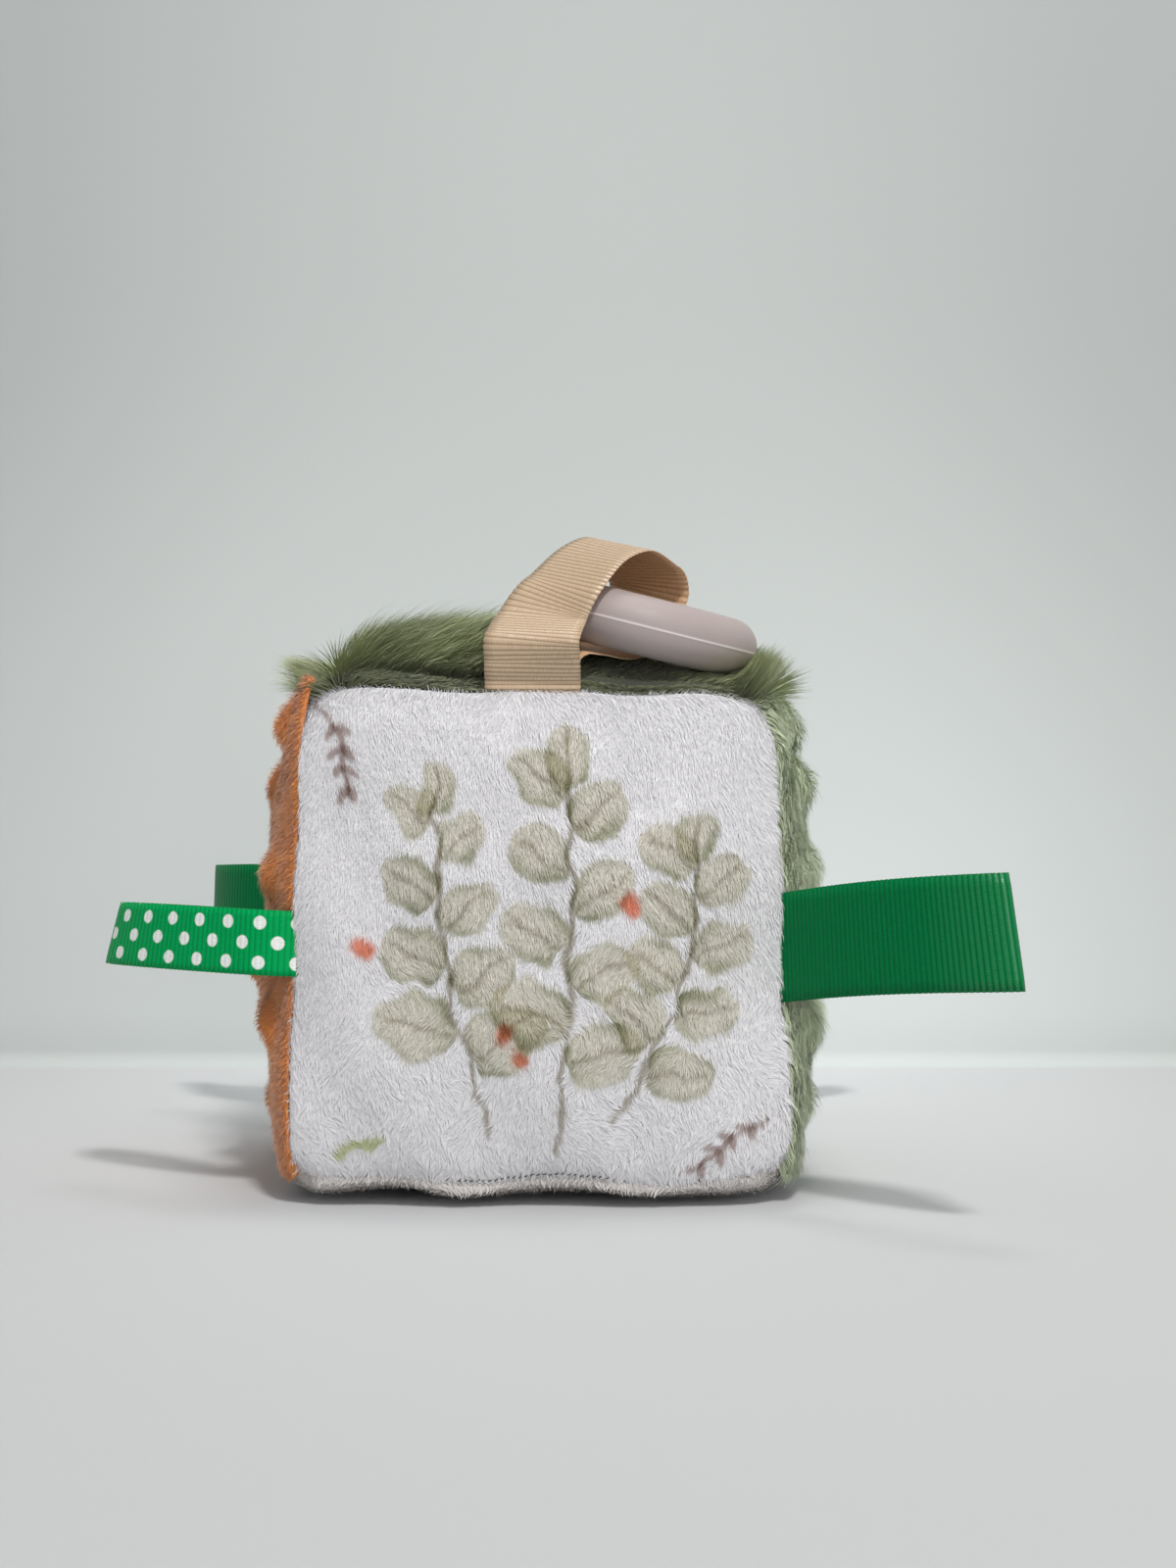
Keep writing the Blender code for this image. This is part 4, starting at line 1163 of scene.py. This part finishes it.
def fur_length(points, u, v):
    """The top fur is pressed short along its front edge and under the ring, and full elsewhere."""
    reach = 0.34 - 0.22 * smoothstep(-0.5, -0.9, u)
    behind = v - crevice_of(u)
    band = smoothstep(-0.03, -0.06, behind)
    behind = 0.2 * smoothstep(0.0, 0.04, behind) + 0.8 * np.clip(behind / reach, 0, 1)
    corner = smoothstep(0.74, 0.86, u)
    under = smoothstep(RING_MAJOR + 0.004, RING_MAJOR + 0.016, from_ring(points))
    left = smoothstep(0.78, 0.97, -u)
    crest = np.exp(-((u + 0.5) / 0.32) ** 2)
    full = (0.08 + 0.92 * behind) * (0.45 + 0.55 * under) * (1 - 0.2 * left) * (0.92 + 0.22 * crest)
    size = full * (1 - band) + (0.16 + 0.2 * smoothstep(-0.5, -0.95, u)) * band
    size = size * (1 - 0.3 * smoothstep(0.9, 0.97, -u) * smoothstep(0.86, 0.95, -v))
    tuft = 0.55 + 0.2 * under
    return size * (1 - corner) + tuft * corner * smoothstep(-1.0, -0.95, v)


def fur_comb(u, v):
    """The top fur lies to the right, and turns out over the left edge."""
    out = smoothstep(0.74, 0.98, -u)[:, None]
    front = smoothstep(-0.3, -0.75, v)[:, None]
    return np.array([0.9, -0.1, 0.0]) * (1 - out) + np.array([-1.0, 0.15, 0.35]) * out - (
        np.array([0.0, 0.3, 0.0]) * front * (1 - out))


def fur_lean(u, v):
    """It stands up along the right edge and the left, and lies flat in the pressed band."""
    band = smoothstep(-0.03, -0.06, v - crevice_of(u)) * smoothstep(0.86, 0.74, u)
    band = band * (1 - 0.5 * smoothstep(-0.5, -0.95, u))
    front = smoothstep(-0.4, -0.8, v)
    stand = 1 - (0.72 + 0.16 * front) * smoothstep(0.76, 0.9, u) - 0.35 * smoothstep(0.80, 0.97, -u)
    return stand * (1 - band) + 1.25 * band


def swirl(u, v):
    """The front pile is combed straight near the top and swirls lower down."""
    return 0.45 + 1.3 * smoothstep(0.4, -0.8, v)


def clear_of_ring(points, roots, normal):
    """Fur pushed aside by the ring that lies on it."""
    margin = RING_TUBE_RADIUS + 0.0006
    for _ in range(2):
        offset = points - RING_CENTRE
        flat = offset - (offset @ OFF_PLANE)[..., None] * OFF_PLANE
        apart = points - (RING_CENTRE + unit(flat) * RING_MAJOR)
        distance = np.linalg.norm(apart, axis=-1, keepdims=True)
        push = np.clip(margin - distance, 0, None)
        points = points + apart / np.maximum(distance, 1e-9) * push
    above = np.sum((points - roots[:, None, :]) * normal[:, None, :], axis=-1)
    return points + normal[:, None, :] * np.clip(-above, 0, None)[..., None]


def olive(points):
    """Painted shade where the fur is pressed at the front seam, in the crevice behind that band and under
    the ring; painted light at the left edge, and a little painted shade at the right corner.
    """
    x = points[:, 0]
    back = points[:, 1] / HALF_WIDTH - crevice_of(x / HALF_WIDTH)
    corner = smoothstep(0.040, 0.047, x)
    # Painted shade on the pressed band, in the crevice behind it and on the fur under the ring
    pressed_shade = smoothstep(0.0, -0.05, back) * (1 - corner)
    crevice_shade = np.exp(-((back - 0.01) / 0.03) ** 2) * (1 - corner)
    under = smoothstep(RING_MAJOR + 0.007, RING_MAJOR - 0.004, from_ring(points))
    # Painted light at the left edge, and a little painted shade at the right corner
    light = 0.2 * smoothstep(-0.042, -0.053, x) - 0.06 * smoothstep(0.038, 0.048, x)
    shade = 1.12 * (1 - 0.66 * pressed_shade) * (1 - 0.6 * crevice_shade) * (1 - 0.5 * under) * (1 + light)
    return plain(OLIVE_FUR, 0.08)(points) * shade[:, None]


# Each panel's slot, the colour of its pile, and how much of it its backing has
PANELS = {
    "front_panel": ("white_plush", printed_colours, 1),
    "back_panel": ("white_plush", plain(WHITE_PILE, 0.015), 1),
    "left_panel": ("orange_plush", plain(ORANGE_PILE, 0.05), 1),
    "right_panel": ("sage_plush", plain(SAGE_PILE, 0.05), 1),
    "top_panel": ("olive_fur", olive, 0.35),
    "base_panel": ("white_dimple_plush", plain(BASE_PILE, 0.015), 1),
}
# How it grows there: the way it is combed, how far and in what lengths that turns, the clumps' pitch
# and pull, painted shade of root and tip (darker roots for the shade deep in the pile, tips above one
# for painted light on them), lean of root and tip in degrees, roll, spread of tone, how far its
# normals follow the cloth's, flare at the seams, and spread of hue
GROWTHS = {
    "front_panel": ((0.12, 0, -1.0), 0.45, 0.020, 0.0013, 0.18,
                    (0.95, 1.0), (48, 82), 0.2, 0.05, 0.62, 1.0, 0.006),
    "back_panel": ((-0.15, 0, -1.0), 0.3, 0.02, 0.0014, 0.12,
                   (0.96, 1.0), (55, 82), 0.15, 0.03, 0.85, 0.5, 0.006),
    "left_panel": ((0, 0.35, -0.9), 0.25, 0.014, 0.0010, 0.14,
                   (0.88, 1.12), (15, 55), 0.3, 0.13, 0.6, 0.8, 0.03),
    "right_panel": ((0, -0.3, -0.9), 0.22, 0.018, 0.0016, 0.22,
                    (0.86, 1.08), (38, 80), 0.2, 0.1, 0.62, 0.5, 0.02),
    "top_panel": (fur_comb, 0.24, 0.02, 0.0016, 0.36,
                  (0.86, 1.3), (34, 76), 0.3, 0.22, 0.45, 0.2, 0.04),
    "base_panel": ((0, -1.0, 0), 0.6, 0.012, 0.0014, 0.15,
                   (0.92, 1.0), (40, 75), 0.35, 0.05, 0.6, 0.5, 0.006),
}
# Each pile's panel, strands, length, width, seed and reach across the panel, and any special sheen
# and roughness
PILES = {
    "front_pile_upper": ("front_panel", 66000, 0.0020, 0.00018, 101, (0, 1)),
    "front_pile_lower": ("front_panel", 66000, 0.0020, 0.00018, 106, (-1, 0)),
    "back_pile": ("back_panel", 66000, 0.0022, 0.00027, 111, (-1, 1)),
    "left_pile": ("left_panel", 66000, 0.0019, 0.00024, 121, (-1, 1), 0.8),
    "right_pile": ("right_panel", 66000, 0.0042, 0.00023, 131, (-1, 1)),
    "top_fur_front": ("top_panel", 28000, 0.0160, 0.00025, 141, (-1, -0.1), 0.15, 0.38),
    "top_fur_rear": ("top_panel", 28000, 0.0160, 0.00026, 146, (-0.1, 1), 0.15, 0.38),
    "base_pile": ("base_panel", 50000, 0.0018, 0.00027, 151, (-1, 1)),
}


def make_piles(strips, ring):
    """Cloth and pile of all six panels."""
    for name, (slot, colour_of, shade) in PANELS.items():
        make_cloth(name, colour_of, shade)
    green_front, dotted_front, green_rear, dotted_rear, beige = (tree_of(strip) for strip in strips)
    special = {
        "front_panel": dict(turn_of=swirl, length_of=edge_length, trims=(green_front, dotted_front, beige)),
        "left_panel": dict(trims=(dotted_front, green_rear)),
        "right_panel": dict(trims=(green_front, dotted_rear)),
        "top_panel": dict(segments=4, bow=1.2, spread=0.12, length_of=fur_length, lean_of=fur_lean,
                          shape=clear_of_ring, trims=(beige, tree_of(ring))),
    }
    for name, (panel, strands, length, width, seed, span, *looks) in PILES.items():
        slot, colour_of, _ = PANELS[panel]
        mesh = grow_pile(name, panel, strands, length, width, seed, span, GROWTHS[panel], colour_of,
                         **special.get(panel, {}))
        pile = add_piece(name, mesh, pile_material(name, *looks), "block")
        if name == "top_fur_front":
            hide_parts("top_pile")


def dress_cad():
    """Better materials for the model's own nodes that stay in sight."""
    finishes = {
        "thread": thread_material("seam_thread", THREAD),
        "stuffing": fibrefill_material("fibrefill"),
    }
    for kind, colour in (("green", GREEN_RIBBON), ("dotted", DOTTED_RIBBON), ("beige", BEIGE_RIBBON)):
        finishes[kind] = sewn_end_material(f"{kind}_sewn_end", colour)
    for name, node in frame["nodes"].items():
        finish = name.split("_")[0 if name.endswith("_sewn_end") else -1]
        if finish in finishes:
            node.data.materials.clear()
            node.data.materials.append(finishes[finish])


def main():
    bpy.context.scene.view_settings.view_transform = "Standard"
    make_camera()
    make_stage()
    make_lights()
    ring = make_ring()
    make_piles(make_ribbons(), ring)
    make_stitches()
    dress_cad()


main()
